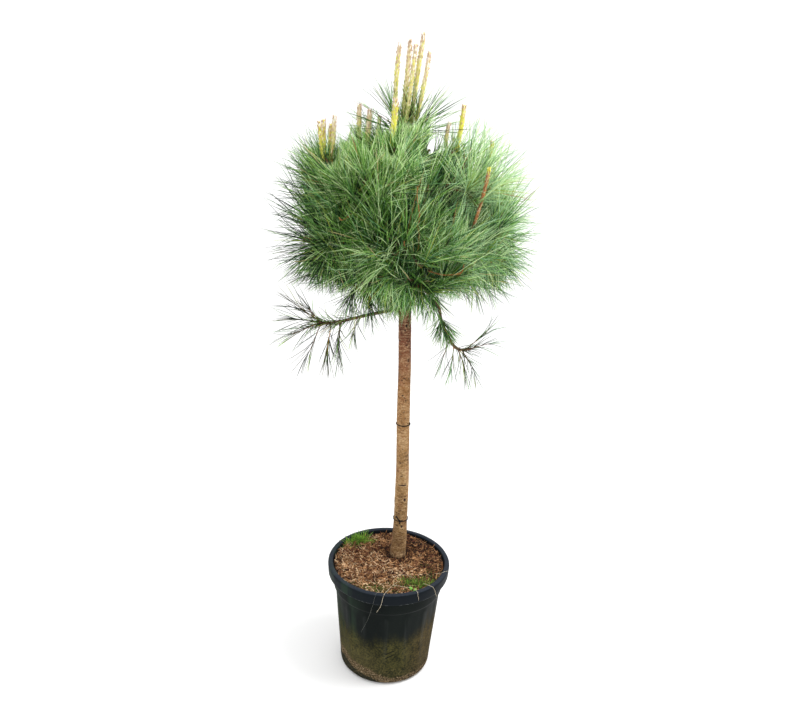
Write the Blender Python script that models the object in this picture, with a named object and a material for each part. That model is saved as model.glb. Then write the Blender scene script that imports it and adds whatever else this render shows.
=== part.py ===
# Italian stone pine, a young half standard in a ribbed black nursery pot.
# Metres, +Z up. The origin is the centre of the pot's flat underside and the
# viewer stands on the -Y side. One clear trunk rises out of the potting mix
# into a round crown. Boughs run from the trunk to the foliage masses, and
# this year's upright shoots, the candles, stand on top of them.

import math
import random

import bmesh
import bpy
from mathutils import Vector, noise

# Left between pieces that rest on or grow out of each other
TOUCH_GAP = 0.0003

# Pot: outer radii and heights, from the flat underside to the rolled rim
POT_HEIGHT = 0.370
RIM_RADIUS = 0.200
RIM_ROUND = 0.006
RIM_WIDTH = 0.0155
LIP_BOTTOM = 0.333
LIP_RADIUS = 0.198
BAND_RADIUS = 0.179
BAND_BOTTOM = 0.287
SHOULDER_DROP = 0.006
BODY_TOP_RADIUS = 0.1725
BODY_BOTTOM_RADIUS = 0.1505
FOOT_HEIGHT = 0.014
FOOT_RADIUS = 0.1400
POT_WALL = 0.0040
POT_FLOOR = 0.0050
COLLAR_RADIUS = 0.1825
RIB_COUNT = 16
RIB_DEPTH = 0.0022
STEPS_PER_RIB = 3

# Potting mix
SOIL_LEVEL = 0.356
SOIL_UNEVEN = 0.004
SOIL_RING_COUNT = 4
GRASS_PLACE = (-0.102, 0.112)
GRASS_SIZE = (0.026, 0.022, 0.024)
MOSS_PLACE = (0.092, -0.108)
MOSS_SIZE = (0.040, 0.026, 0.010)
CUSHION_PROBES = 6

# Trunk: where its centre line passes, and its radii
TRUNK_FOOT = Vector((0.0290, 0.057, SOIL_LEVEL + TOUCH_GAP))
TRUNK_LINE = (
    TRUNK_FOOT,
    Vector((0.0322, 0.055, 0.47)),
    Vector((0.0308, 0.050, 0.66)),
    Vector((0.0250, 0.043, 0.84)),
    Vector((0.0205, 0.036, 1.03)),
    Vector((0.0145, 0.030, 1.19)),
    Vector((0.0030, 0.024, 1.45)),
    Vector((-0.0070, 0.020, 1.735)),
)
TRUNK_SIDES = 14
TRUNK_RINGS = 22
TRUNK_RADIUS_LOW = 0.0222
TRUNK_RADIUS_CROWN = 0.0190
TRUNK_RADIUS_TIP = 0.0070
CROWN_START = 1.20
ROOT_FLARE = 0.0060
ROOT_FLARE_HEIGHT = 0.085

# Crown: rings of foliage masses round the trunk, from the top down. Each has
# the masses' number, first angle, distance from the trunk and height, then
# their reach outward and up, and how steeply the boughs climb to them.
CROWN_RINGS = {
    "top": dict(count=3, phase=-100, radius=0.082, height=1.675, reach=0.090, rise=0.085, climb=0.85),
    "upper": dict(count=5, phase=-52, radius=0.195, height=1.575, reach=0.140, rise=0.115, climb=0.55),
    "middle": dict(count=5, phase=-88, radius=0.232, height=1.435, reach=0.152, rise=0.105, climb=0.36),
    "lower": dict(count=4, phase=-62, radius=0.188, height=1.315, reach=0.150, rise=0.075, climb=0.20),
}
RING_JITTER = 0.012
MASS_GAP = 0.007
LUMP_DEPTH = 0.17
LUMP_SIZE = 2.1
RIPPLE_DEPTH = 0.07
RIPPLE_SIZE = 5.5

# The leader's tuft closes the crown, and two thin sprays hang below it
LEADER_CENTRE = Vector((-0.008, 0.020, 1.768))
LEADER_REACH = Vector((0.068, 0.064, 0.056))
LEFT_SPRAY_CENTRE = Vector((-0.262, -0.015, 1.118))
LEFT_SPRAY_REACH = Vector((0.128, 0.085, 0.078))
RIGHT_SPRAY_CENTRE = Vector((0.218, -0.015, 1.092))
RIGHT_SPRAY_REACH = Vector((0.092, 0.075, 0.090))

# Boughs
BOUGH_SIDES = 7
BOUGH_RINGS = 5
BOUGH_SHARE = 0.45
BOUGH_TIP_RADIUS = 0.0050
BOUGH_STAGGER = 0.012
BOUGH_SAG = 0.012
SPRAY_BOUGH_RADIUS = 0.0080
LEFT_BOUGH_START = 1.214
LEFT_BOUGH_BEND = Vector((-0.107, 0.010, 1.188))
LEFT_BOUGH_RUN = (Vector((-0.175, 0.000, 1.168)),)
RIGHT_BOUGH_START = 1.262
RIGHT_BOUGH_BEND = Vector((0.100, 0.008, 1.236))
RIGHT_BOUGH_RUN = (Vector((0.124, 0.004, 1.183)), Vector((0.150, -0.002, 1.134)))

# Candles: the leader carries a whorl of five, the masses one each
CANDLE_SIDES = 6
CANDLE_RADIUS = 0.0062
CANDLE_TIP_RADIUS = 0.0030
LEADER_CANDLES = 5
LEADER_CANDLE_SPREAD = 0.066
LEADER_CANDLE_DEPTH = 0.026
LEADER_CANDLE_FAN = 0.34
LEADER_CANDLE_LEAN = 0.012
LEADER_TIP_HEIGHTS = (1.941, 1.952, 1.940, 1.966, 1.922)
SIDE_CANDLE_TIPS = {
    "front": Vector((-0.037, -0.080, 1.792)),
    "left": Vector((-0.238, 0.020, 1.738)),
    "left_inner": Vector((-0.140, 0.030, 1.782)),
    "right_inner": Vector((0.152, 0.050, 1.796)),
    "right": Vector((0.240, 0.060, 1.702)),
}
SIDE_CANDLE_LEAN = 0.3

# Wire ties round the trunk
TIE_WIRE = 0.0012
HIGH_TIE = 0.830
LOW_TIE = 0.490


def clear_scene():
    for item in list(bpy.data.objects):
        bpy.data.objects.remove(item, do_unlink=True)


def plain_material(name, colour, roughness):
    material = bpy.data.materials.new(name)
    material.use_nodes = True
    surface = material.node_tree.nodes["Principled BSDF"]
    surface.inputs["Base Color"].default_value = (*colour, 1.0)
    surface.inputs["Roughness"].default_value = roughness
    surface.inputs["Metallic"].default_value = 0.0
    return material


def add_object(name, mesh, colour, roughness, place=(0, 0, 0)):
    piece = bpy.data.objects.new(name, mesh)
    piece.location = place
    mesh.materials.append(plain_material(name, colour, roughness))
    bpy.context.collection.objects.link(piece)
    return piece


def mesh_from(bm, name):
    bmesh.ops.recalc_face_normals(bm, faces=bm.faces)
    mesh = bpy.data.meshes.new(name)
    bm.to_mesh(mesh)
    bm.free()
    mesh.shade_smooth()
    mesh.set_sharp_from_angle(angle=math.radians(50))
    return mesh


# A closed skin over a run of rings that all have the same number of points
def loft(rings):
    bm = bmesh.new()
    loops = [[bm.verts.new(point) for point in ring] for ring in rings]
    count = len(loops[0])
    for below, above in zip(loops, loops[1:]):
        for i in range(count):
            j = (i + 1) % count
            bm.faces.new((below[i], below[j], above[j], above[i]))
    bm.faces.new(list(reversed(loops[0])))
    bm.faces.new(loops[-1])
    return bm


# Circles set square to a path, with a frame carried along it without twist
def rings_along(path, radii, sides):
    rings = []
    ahead = (path[1] - path[0]).normalized()
    side = ahead.orthogonal().normalized()
    for i, centre in enumerate(path):
        ahead = (path[min(i + 1, len(path) - 1)] - path[max(i - 1, 0)]).normalized()
        side = (side - ahead * side.dot(ahead)).normalized()
        other = ahead.cross(side)
        ring = []
        for k in range(sides):
            turn = 2 * math.pi * k / sides
            offset = side * math.cos(turn) + other * math.sin(turn)
            ring.append(centre + offset * radii[i])
        rings.append(ring)
    return rings


# A point on the smooth curve through the points, with t from 0 to 1
def smooth_line(points, t):
    last = len(points) - 1
    place = min(t * last, last - 1e-6)
    i = int(place)
    u = place - i
    before = points[max(i - 1, 0)]
    start = points[i]
    end = points[i + 1]
    after = points[min(i + 2, last)]
    return 0.5 * (
        2 * start
        + (end - before) * u
        + (2 * before - 5 * start + 4 * end - after) * u ** 2
        + (3 * start - before - 3 * end + after) * u ** 3
    )


# Replaces a piece's mesh by what is left of it outside the cutter
def cut_away(piece, cutter):
    cut = piece.modifiers.new("cut", "BOOLEAN")
    cut.operation = "DIFFERENCE"
    cut.solver = "EXACT"
    cut.object = cutter
    graph = bpy.context.evaluated_depsgraph_get()
    piece.data = bpy.data.meshes.new_from_object(piece.evaluated_get(graph))
    piece.modifiers.remove(cut)


# Pot


# Radius and height of the inside, from the rim down to the floor
def pot_inside():
    band = BAND_RADIUS - POT_WALL
    body = BODY_TOP_RADIUS - POT_WALL - RIB_DEPTH
    low = BODY_BOTTOM_RADIUS - POT_WALL - RIB_DEPTH
    return (
        (COLLAR_RADIUS, POT_HEIGHT - RIM_ROUND),
        (COLLAR_RADIUS, LIP_BOTTOM + POT_WALL),
        (band, LIP_BOTTOM - POT_WALL),
        (band, BAND_BOTTOM),
        (body, BAND_BOTTOM - SHOULDER_DROP),
        (low, FOOT_HEIGHT),
        (FOOT_RADIUS - POT_WALL, POT_FLOOR),
    )


# A rib stands out over one step in three and fades to nothing at both ends
def pot_ring(radius, z, rib=0.0):
    ring = []
    steps = RIB_COUNT * STEPS_PER_RIB
    for i in range(steps):
        turn = 2 * math.pi * i / steps
        proud = rib * RIB_DEPTH if i % STEPS_PER_RIB == 0 else 0.0
        reach = radius - rib * RIB_DEPTH + proud
        ring.append(Vector((reach * math.cos(turn), reach * math.sin(turn), z)))
    return ring


def make_pot():
    body_top = BAND_BOTTOM - SHOULDER_DROP
    rim_inner = RIM_RADIUS - RIM_WIDTH
    rings = [
        pot_ring(FOOT_RADIUS, 0.0),
        pot_ring(BODY_BOTTOM_RADIUS - 0.003, FOOT_HEIGHT * 0.35),
        pot_ring(BODY_BOTTOM_RADIUS, FOOT_HEIGHT),
        pot_ring(BODY_BOTTOM_RADIUS + 0.001, 2 * FOOT_HEIGHT, rib=1.0),
        pot_ring(BODY_TOP_RADIUS - 0.001, body_top - FOOT_HEIGHT, rib=1.0),
        pot_ring(BODY_TOP_RADIUS, body_top),
        pot_ring(BAND_RADIUS, BAND_BOTTOM),
        pot_ring(BAND_RADIUS + 0.001, LIP_BOTTOM),
        pot_ring(LIP_RADIUS, LIP_BOTTOM),
        pot_ring(RIM_RADIUS, POT_HEIGHT - RIM_ROUND),
        pot_ring(RIM_RADIUS - RIM_ROUND, POT_HEIGHT),
        pot_ring(rim_inner + RIM_ROUND / 2, POT_HEIGHT),
    ]
    rings += [pot_ring(radius, z) for radius, z in pot_inside()]
    add_object("pot", mesh_from(loft(rings), "pot"), (0.020, 0.024, 0.028), 0.45)


# Potting mix: it fills the pot, and is level under the trunk's foot


def soil_height(x, y):
    away = (Vector((x, y)) - TRUNK_FOOT.xy).length
    seat = 2 * TRUNK_RADIUS_LOW
    share = min(max((away - seat) / seat, 0.0), 1.0)
    return SOIL_LEVEL + SOIL_UNEVEN * share * noise.noise(Vector((x * 14, y * 14, 3.0)))


def circle(radius, z, steps, centre=(0.0, 0.0)):
    ring = []
    for i in range(steps):
        turn = 2 * math.pi * i / steps
        ring.append(Vector((centre[0] + radius * math.cos(turn), centre[1] + radius * math.sin(turn), z)))
    return ring


def make_soil():
    steps = RIB_COUNT * STEPS_PER_RIB
    wall_gap = 1.3 * TOUCH_GAP
    rings = []
    for radius, z in reversed(pot_inside()[1:]):
        rings.append(circle(radius - wall_gap, z + TOUCH_GAP, steps))
    seat = 1.7 * TRUNK_RADIUS_LOW
    outer = COLLAR_RADIUS - wall_gap
    for i in range(SOIL_RING_COUNT + 1):
        share = i / SOIL_RING_COUNT
        ring = circle(outer + (seat - outer) * share, 0.0, steps, TRUNK_FOOT.xy * share)
        for point in ring:
            point.z = soil_height(point.x, point.y)
        rings.append(ring)
    mix = mesh_from(loft(rings), "potting_mix")
    return add_object("potting_mix", mix, (0.16, 0.085, 0.045), 0.95)


# The highest that the mix lies under a cushion
def highest_under(mix, place, size):
    heights = []
    for i in range(-CUSHION_PROBES, CUSHION_PROBES + 1):
        for k in range(-CUSHION_PROBES, CUSHION_PROBES + 1):
            x = place[0] + size[0] * i / CUSHION_PROBES
            y = place[1] + size[1] * k / CUSHION_PROBES
            found, point, _, _ = mix.ray_cast(Vector((x, y, POT_HEIGHT)), Vector((0, 0, -1)))
            if found:
                heights.append(point.z)
    return max(heights)


# A low cushion of growth that sits on the mix, flat below and domed above
def make_cushion(name, mix, place, size, colour):
    floor = highest_under(mix, place, size)
    rings = []
    for lift, share in ((0.0, 1.0), (0.35, 0.92), (0.75, 0.66), (1.0, 0.25)):
        ring = circle(1.0, 0.0, 10)
        for point in ring:
            ragged = 1 + 0.16 * noise.noise(Vector((point.x * 2, point.y * 2, lift)))
            point.x = place[0] + point.x * size[0] * share * ragged
            point.y = place[1] + point.y * size[1] * share * ragged
            point.z = floor + TOUCH_GAP + lift * size[2]
        rings.append(ring)
    add_object(name, mesh_from(loft(rings), name), colour, 0.9)


# Trunk


def trunk_height_share(z):
    low, high = 0.0, 1.0
    for _ in range(40):
        middle = (low + high) / 2
        if smooth_line(TRUNK_LINE, middle).z < z:
            low = middle
        else:
            high = middle
    return low


def trunk_point(z):
    return smooth_line(TRUNK_LINE, trunk_height_share(z))


def trunk_radius(z):
    foot = TRUNK_FOOT.z
    if z < CROWN_START:
        share = (z - foot) / (CROWN_START - foot)
        radius = TRUNK_RADIUS_LOW + (TRUNK_RADIUS_CROWN - TRUNK_RADIUS_LOW) * share
    else:
        share = (z - CROWN_START) / (TRUNK_LINE[-1].z - CROWN_START)
        radius = TRUNK_RADIUS_CROWN + (TRUNK_RADIUS_TIP - TRUNK_RADIUS_CROWN) * share
    return radius + ROOT_FLARE * math.exp((foot - z) / ROOT_FLARE_HEIGHT)


def make_trunk_mesh(extra=0.0):
    foot = TRUNK_FOOT.z
    top = TRUNK_LINE[-1].z
    path = []
    radii = []
    for i in range(TRUNK_RINGS):
        share = (i / (TRUNK_RINGS - 1)) ** 1.35
        z = foot + (top - foot) * share
        path.append(trunk_point(z))
        radii.append(trunk_radius(z) + extra)
    rings = rings_along(path, radii, TRUNK_SIDES)
    for point in rings[0]:
        point.z = foot
    return mesh_from(loft(rings), "trunk")


# Foliage masses


def planned_masses():
    rng = random.Random(7)
    masses = {}
    for ring, plan in CROWN_RINGS.items():
        for i in range(plan["count"]):
            turn = math.radians(plan["phase"] + 360 * i / plan["count"] + rng.uniform(-5, 5))
            height = plan["height"] + rng.uniform(-RING_JITTER, RING_JITTER)
            away = plan["radius"] + rng.uniform(-RING_JITTER, RING_JITTER)
            axis = trunk_point(height)
            centre = Vector((axis.x + away * math.cos(turn), axis.y + away * math.sin(turn), height))
            reach = Vector((plan["reach"], plan["reach"], plan["rise"])) * rng.uniform(0.97, 1.05)
            name = f"foliage_{ring}_{i + 1}"
            masses[name] = dict(centre=centre, reach=reach, climb=plan["climb"])
    masses["foliage_leader"] = dict(centre=LEADER_CENTRE, reach=LEADER_REACH)
    masses["foliage_left_spray"] = dict(centre=LEFT_SPRAY_CENTRE, reach=LEFT_SPRAY_REACH)
    masses["foliage_right_spray"] = dict(centre=RIGHT_SPRAY_CENTRE, reach=RIGHT_SPRAY_REACH)
    return masses


def nearest_on_length(point, start, end):
    along = end - start
    share = (point - start).dot(along) / along.length_squared
    return start + along * min(max(share, 0.0), 1.0)


# Planes that part a mass from its neighbours, from the trunk and from the
# limbs of other masses. Each is its outward direction and how far it lies
# from the mass's centre.
def parting_planes(name, masses, limbs):
    centre = masses[name]["centre"]
    own = masses[name]["reach"].x
    planes = []
    for other, plan in masses.items():
        if other == name:
            continue
        apart = plan["centre"] - centre
        gap = apart.length
        share = (gap ** 2 + own ** 2 - plan["reach"].x ** 2) / (2 * gap)
        planes.append((apart / gap, share - MASS_GAP / 2))
    if name != "foliage_leader":
        axis = trunk_point(min(centre.z, TRUNK_LINE[-1].z))
        inward = Vector((axis.x - centre.x, axis.y - centre.y, 0.0))
        clear = inward.length - trunk_radius(centre.z) - MASS_GAP
        planes.append((inward.normalized(), clear))
    for limb in limbs.values():
        if limb["mass"] == name:
            continue
        for start, end in zip(limb["path"], limb["path"][1:]):
            apart = nearest_on_length(centre, start, end) - centre
            planes.append((apart.normalized(), apart.length - max(limb["radii"]) - MASS_GAP / 2))
    return planes


def make_mass(name, masses, limbs, seed):
    plan = masses[name]
    planes = parting_planes(name, masses, limbs)
    fine = plan["reach"].x > 0.10
    bm = bmesh.new()
    bmesh.ops.create_icosphere(bm, subdivisions=3 if fine else 2, radius=1.0)
    shift = Vector((seed * 3.1, seed * 1.7, seed * 2.3))
    for vert in bm.verts:
        way = vert.co.normalized()
        squeezed = Vector((way.x / plan["reach"].x, way.y / plan["reach"].y, way.z / plan["reach"].z))
        lump = LUMP_DEPTH * noise.noise(way * LUMP_SIZE + shift)
        ripple = RIPPLE_DEPTH * noise.noise(way * RIPPLE_SIZE + shift)
        length = (1 + lump + ripple) / squeezed.length
        for outward, distance in planes:
            facing = way.dot(outward)
            if facing > 0:
                length = min(length, distance / facing)
        vert.co = way * length
    green = 0.75 + 0.5 * ((seed * 0.37) % 1)
    colour = (0.055 * green, 0.16 * green, 0.035 * green)
    return add_object(name, mesh_from(bm, name), colour, 0.8, plan["centre"])


# The same mass swollen by a hair, to cut limbs back to just outside it
def swollen_mass(mass):
    mesh = mass.data.copy()
    shortest = min(vert.co.length for vert in mesh.vertices)
    swell = 1 + 1.4 * TOUCH_GAP / shortest
    for vert in mesh.vertices:
        vert.co *= swell
    cutter = bpy.data.objects.new("cutter", mesh)
    cutter.location = mass.location
    bpy.context.collection.objects.link(cutter)
    bpy.context.view_layer.update()
    return cutter


# Boughs and candles are limbs: one tapering length, cut back where it meets
# the trunk or enters its mass


def tapered(thick, thin, count):
    return [thick + (thin - thick) * i / (count - 1) for i in range(count)]


def sagging_path(start, end, sag):
    path = []
    for i in range(BOUGH_RINGS):
        t = i / (BOUGH_RINGS - 1)
        point = start.lerp(end, t)
        point.z -= sag * 4 * t * (1 - t)
        path.append(point)
    return path


def planned_boughs(masses):
    boughs = {}
    for i, (name, plan) in enumerate(masses.items()):
        if "climb" not in plan:
            continue
        centre = plan["centre"]
        away = (centre.xy - trunk_point(centre.z).xy).length
        start = trunk_point(centre.z - plan["climb"] * away + BOUGH_STAGGER * (i % 2))
        thick = BOUGH_SHARE * trunk_radius(start.z)
        boughs[name.replace("foliage", "bough")] = dict(
            mass=name, path=sagging_path(start, centre, BOUGH_SAG),
            radii=tapered(thick, min(BOUGH_TIP_RADIUS, 0.8 * thick), BOUGH_RINGS))
    left_run = (*LEFT_BOUGH_RUN, LEFT_SPRAY_CENTRE)
    right_run = (*RIGHT_BOUGH_RUN, RIGHT_SPRAY_CENTRE)
    boughs.update(bent_bough("left", LEFT_BOUGH_START, LEFT_BOUGH_BEND, left_run))
    boughs.update(bent_bough("right", RIGHT_BOUGH_START, RIGHT_BOUGH_BEND, right_run))
    return boughs


# The low limbs bend, so each is two lengths that meet end to end at the bend,
# cut on the plane that halves it
def bent_bough(side, start_height, bend, run):
    start = trunk_point(start_height)
    halving = ((bend - start).normalized() + (run[0] - bend).normalized()).normalized()
    middle = (SPRAY_BOUGH_RADIUS + BOUGH_TIP_RADIUS) / 2
    inner = dict(mass=None, path=[start, bend], bend=(bend, halving),
                 radii=[SPRAY_BOUGH_RADIUS, middle])
    outer = dict(mass=f"foliage_{side}_spray", path=[bend, *run], bend=(bend, -halving),
                 radii=tapered(middle, BOUGH_TIP_RADIUS, len(run) + 1))
    return {f"bough_{side}_inner": inner, f"bough_{side}_outer": outer}


def planned_candles(masses):
    candles = {}
    for i in range(LEADER_CANDLES):
        share = i / (LEADER_CANDLES - 1) - 0.5
        depth = LEADER_CANDLE_DEPTH * (0.5 if i % 2 else -0.5)
        base = LEADER_CENTRE + Vector((LEADER_CANDLE_SPREAD * share, depth, 0.0))
        tip_x = base.x + LEADER_CANDLE_LEAN + LEADER_CANDLE_FAN * LEADER_CANDLE_SPREAD * share
        tip = Vector((tip_x, base.y + depth * LEADER_CANDLE_FAN, LEADER_TIP_HEIGHTS[i]))
        candles[f"candle_leader_{i + 1}"] = planned_candle("foliage_leader", base, tip)
    high = [name for name in masses if "top" in name or "upper" in name]
    for label, tip in SIDE_CANDLE_TIPS.items():
        nearest = min(high, key=lambda name: (masses[name]["centre"].xy - tip.xy).length)
        centre = masses[nearest]["centre"]
        base = Vector((tip.x, tip.y, centre.z)).lerp(centre, SIDE_CANDLE_LEAN)
        candles[f"candle_{label}"] = planned_candle(nearest, base, tip)
    return candles


def planned_candle(mass, base, tip):
    path = [base.lerp(tip, share) for share in (0.0, 0.5, 0.9, 1.0)]
    radii = [CANDLE_RADIUS * 0.8, CANDLE_RADIUS, CANDLE_RADIUS * 0.8, CANDLE_TIP_RADIUS]
    return dict(mass=mass, path=path, radii=radii)


# A length that ends at a bend runs past it, and is cut off on its plane
def make_limb(name, plan, sides, colour, cutters):
    path = list(plan["path"])
    if "bend" in plan:
        place, outward = plan["bend"]
        overrun = outward * max(plan["radii"])
        path[path.index(place)] = place + overrun
    bm = loft(rings_along(path, plan["radii"], sides))
    if "bend" in plan:
        cut_on_plane(bm, place - outward * TOUCH_GAP / 2, outward)
    limb = add_object(name, mesh_from(bm, name), colour, 0.85)
    bpy.context.view_layer.update()
    for cutter in cutters:
        cut_away(limb, cutter)


def cut_on_plane(bm, place, outward):
    everything = bm.verts[:] + bm.edges[:] + bm.faces[:]
    cut = bmesh.ops.bisect_plane(bm, geom=everything, plane_co=place, plane_no=outward, clear_outer=True)
    edges = [item for item in cut["geom_cut"] if isinstance(item, bmesh.types.BMEdge)]
    bmesh.ops.contextual_create(bm, geom=edges)


def make_boughs(boughs, cutters, trunk_cutter):
    for name, plan in boughs.items():
        used = []
        if not name.endswith("outer"):
            used.append(trunk_cutter)
        if plan["mass"]:
            used.append(cutters[plan["mass"]])
        make_limb(name, plan, BOUGH_SIDES, (0.20, 0.105, 0.055), used)


def make_candles(candles, cutters):
    for name, plan in candles.items():
        make_limb(name, plan, CANDLE_SIDES, (0.42, 0.36, 0.20), [cutters[plan["mass"]]])


# A ring of wire drawn round the trunk
def make_tie(name, z):
    centre = trunk_point(z)
    reach = (trunk_radius(z) + TIE_WIRE + TOUCH_GAP) / math.cos(math.pi / TRUNK_SIDES)
    bm = bmesh.new()
    sections = []
    for i in range(TRUNK_SIDES):
        turn = 2 * math.pi * i / TRUNK_SIDES
        outward = Vector((math.cos(turn), math.sin(turn), 0.0))
        section = []
        for k in range(5):
            spin = 2 * math.pi * k / 5
            offset = outward * math.cos(spin) * TIE_WIRE + Vector((0, 0, TIE_WIRE)) * math.sin(spin)
            section.append(bm.verts.new(centre + outward * reach + offset))
        sections.append(section)
    for i, section in enumerate(sections):
        following = sections[(i + 1) % TRUNK_SIDES]
        for k in range(5):
            m = (k + 1) % 5
            bm.faces.new((section[k], section[m], following[m], following[k]))
    add_object(name, mesh_from(bm, name), (0.02, 0.02, 0.02), 0.5)


def main():
    clear_scene()
    make_pot()
    mix = make_soil()
    bpy.context.view_layer.update()
    make_cushion("grass_tuft", mix, GRASS_PLACE, GRASS_SIZE, (0.10, 0.30, 0.05))
    make_cushion("moss_patch", mix, MOSS_PLACE, MOSS_SIZE, (0.09, 0.17, 0.04))

    masses = planned_masses()
    boughs = planned_boughs(masses)
    candles = planned_candles(masses)
    cutters = {}
    for seed, name in enumerate(masses):
        mass = make_mass(name, masses, {**boughs, **candles}, seed)
        bpy.context.view_layer.update()
        cutters[name] = swollen_mass(mass)

    trunk = add_object("trunk", make_trunk_mesh(), (0.25, 0.15, 0.085), 0.9)
    bpy.context.view_layer.update()
    cut_away(trunk, cutters["foliage_leader"])
    trunk_cutter = bpy.data.objects.new("cutter", make_trunk_mesh(extra=1.4 * TOUCH_GAP))
    bpy.context.collection.objects.link(trunk_cutter)
    bpy.context.view_layer.update()

    make_boughs(boughs, cutters, trunk_cutter)
    make_candles(candles, cutters)
    make_tie("tie_high", HIGH_TIE)
    make_tie("tie_low", LOW_TIE)

    for cutter in [*cutters.values(), trunk_cutter]:
        bpy.data.objects.remove(cutter, do_unlink=True)


main()
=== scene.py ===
# A young italian stone pine in its pot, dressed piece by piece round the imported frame
import math
import random

import bpy
import numpy as np
from mathutils import Matrix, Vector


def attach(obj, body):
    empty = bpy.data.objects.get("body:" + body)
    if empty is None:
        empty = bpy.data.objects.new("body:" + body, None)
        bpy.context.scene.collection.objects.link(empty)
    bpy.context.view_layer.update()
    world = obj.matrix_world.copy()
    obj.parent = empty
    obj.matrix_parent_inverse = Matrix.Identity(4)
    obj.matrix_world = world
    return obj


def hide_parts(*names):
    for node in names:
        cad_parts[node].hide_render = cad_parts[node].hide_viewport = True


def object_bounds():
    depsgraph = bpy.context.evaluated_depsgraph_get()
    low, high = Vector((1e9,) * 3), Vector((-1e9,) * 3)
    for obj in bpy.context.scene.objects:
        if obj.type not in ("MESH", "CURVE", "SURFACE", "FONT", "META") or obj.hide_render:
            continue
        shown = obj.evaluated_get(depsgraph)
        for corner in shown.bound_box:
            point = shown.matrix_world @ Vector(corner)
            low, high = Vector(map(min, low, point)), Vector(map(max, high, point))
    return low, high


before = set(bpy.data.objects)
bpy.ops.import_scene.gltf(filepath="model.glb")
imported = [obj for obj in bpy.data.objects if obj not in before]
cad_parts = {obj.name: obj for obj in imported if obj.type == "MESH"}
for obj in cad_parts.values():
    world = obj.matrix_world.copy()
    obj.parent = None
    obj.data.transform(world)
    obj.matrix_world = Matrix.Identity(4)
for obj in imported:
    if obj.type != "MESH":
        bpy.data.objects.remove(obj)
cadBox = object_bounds()
goldenTurn = math.pi * (3 - math.sqrt(5))
up = np.array([0.0, 0.0, 1.0])


# Small tools for whole arrays of points

def unit(ways):
    return ways / np.maximum(np.linalg.norm(ways, axis=-1, keepdims=True), 1e-9)


def smoothStep(low, high, values):
    share = np.clip((values - low) / (high - low), 0, 1)
    return share * share * (3 - 2 * share)


def roundTurns(count):
    return np.arange(count) * 2 * math.pi / count


# cos(turn)·side + sin(turn)·lift
def swing(turn, side, lift):
    return np.cos(turn)[..., None] * side + np.sin(turn)[..., None] * lift


# The ways without what runs along the axis
def squareTo(ways, axis):
    return unit(ways - axis * (ways * axis).sum(-1, keepdims=True))


# Flat places of two numbers get a height as their third
def withHeight(places, height):
    height = np.broadcast_to(np.asarray(height, float)[..., None], (*places.shape[:-1], 1))
    return np.concatenate([places, height], -1)


# Deals members out to owners: each member's owner, and its number among that owner's members
def dealOut(counts):
    owner = np.repeat(np.arange(len(counts)), counts)
    return owner, np.arange(len(owner)) - np.repeat(np.cumsum(counts) - counts, counts)


# Colour numbers dealt out by a number from 0 to 1: each colour's name has the place at which its share ends
def dealTones(pick, colours, shares):
    numbers = np.array([list(colours).index(name) for name in shares])
    return numbers[np.searchsorted(list(shares.values())[:-1], pick, side="right")]


# Points on their owners' lines at places counted in steps of the line, and the way the line goes there
def alongLines(lines, owner, place):
    low = np.clip(place.astype(int), 0, lines.shape[1] - 2)
    before, after = lines[owner, low], lines[owner, low + 1]
    return before + (after - before) * (place - low)[:, None], unit(after - before)


# Value noise from -1 to 1: each whole corner round a point has its own hashed number, and the eight are
# blended by 3u² - 2u³ along each axis
def cellNoise(points, size, seed):
    scaled = np.asarray(points) / size
    cell = np.floor(scaled).astype(np.int64)
    inner = scaled - cell
    inner = inner * inner * (3 - 2 * inner)
    total = np.zeros(scaled.shape[:-1])
    for corner in range(8):
        step = np.array([corner & 1, corner >> 1 & 1, corner >> 2 & 1])
        key = (cell + step) @ np.array([73856093, 19349663, 83492791]) + seed * 2654435761
        key = (key ^ (key >> 13)) * 1274126177 & 0xFFFFFFFF
        key = (key ^ (key >> 16)) & 0xFFFF
        weight = np.where(step, inner, 1 - inner).prod(-1)
        total += weight * key / 65535
    return total * 2 - 1


# Several sizes of noise added, each half the size and half the height of the last
def layeredNoise(points, size, seed, layers=3):
    total = sum(cellNoise(points, size / 2 ** i, seed + i) / 2 ** i for i in range(layers))
    return total / (2 - 0.5 ** (layers - 1))


# Catmull-Rom line through the given points, sampled evenly in its parameter
def smoothLine(points, steps):
    points = np.asarray(points, float)
    last = len(points) - 1
    place = np.linspace(0, last - 1e-6, steps)
    i = place.astype(int)
    u = (place - i)[:, None]
    before, start = points[np.maximum(i - 1, 0)], points[i]
    end, after = points[i + 1], points[np.minimum(i + 2, last)]
    return 0.5 * (2 * start + (end - before) * u + (2 * before - 5 * start + 4 * end - after) * u ** 2
                  + (3 * start - before - 3 * end + after) * u ** 3)


# Hermite lines, one for each start: they leave along startWay and arrive along endWay, both as long as the gap
def easedLines(start, startWay, end, endWay, steps):
    t = np.linspace(0, 1, steps)[None, :, None]
    gap = np.linalg.norm(end - start, axis=-1)[:, None, None] * 0.9
    return ((2 * t ** 3 - 3 * t ** 2 + 1) * start[:, None]
            + (t ** 3 - 2 * t ** 2 + t) * gap * unit(startWay)[:, None]
            + (3 * t ** 2 - 2 * t ** 3) * end[:, None]
            + (t ** 3 - t ** 2) * gap * unit(endWay)[:, None])


# Faces of a grid of points, rows by columns; closed columns join the last one to the first
def gridFaces(rows, columns, closed=True):
    wide = columns if closed else columns - 1
    i, j = np.meshgrid(np.arange(rows - 1), np.arange(wide), indexing="ij")
    here, beside = i * columns + j, i * columns + (j + 1) % columns
    return np.stack([here, beside, beside + columns, here + columns], -1).reshape(-1, 4)


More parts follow.
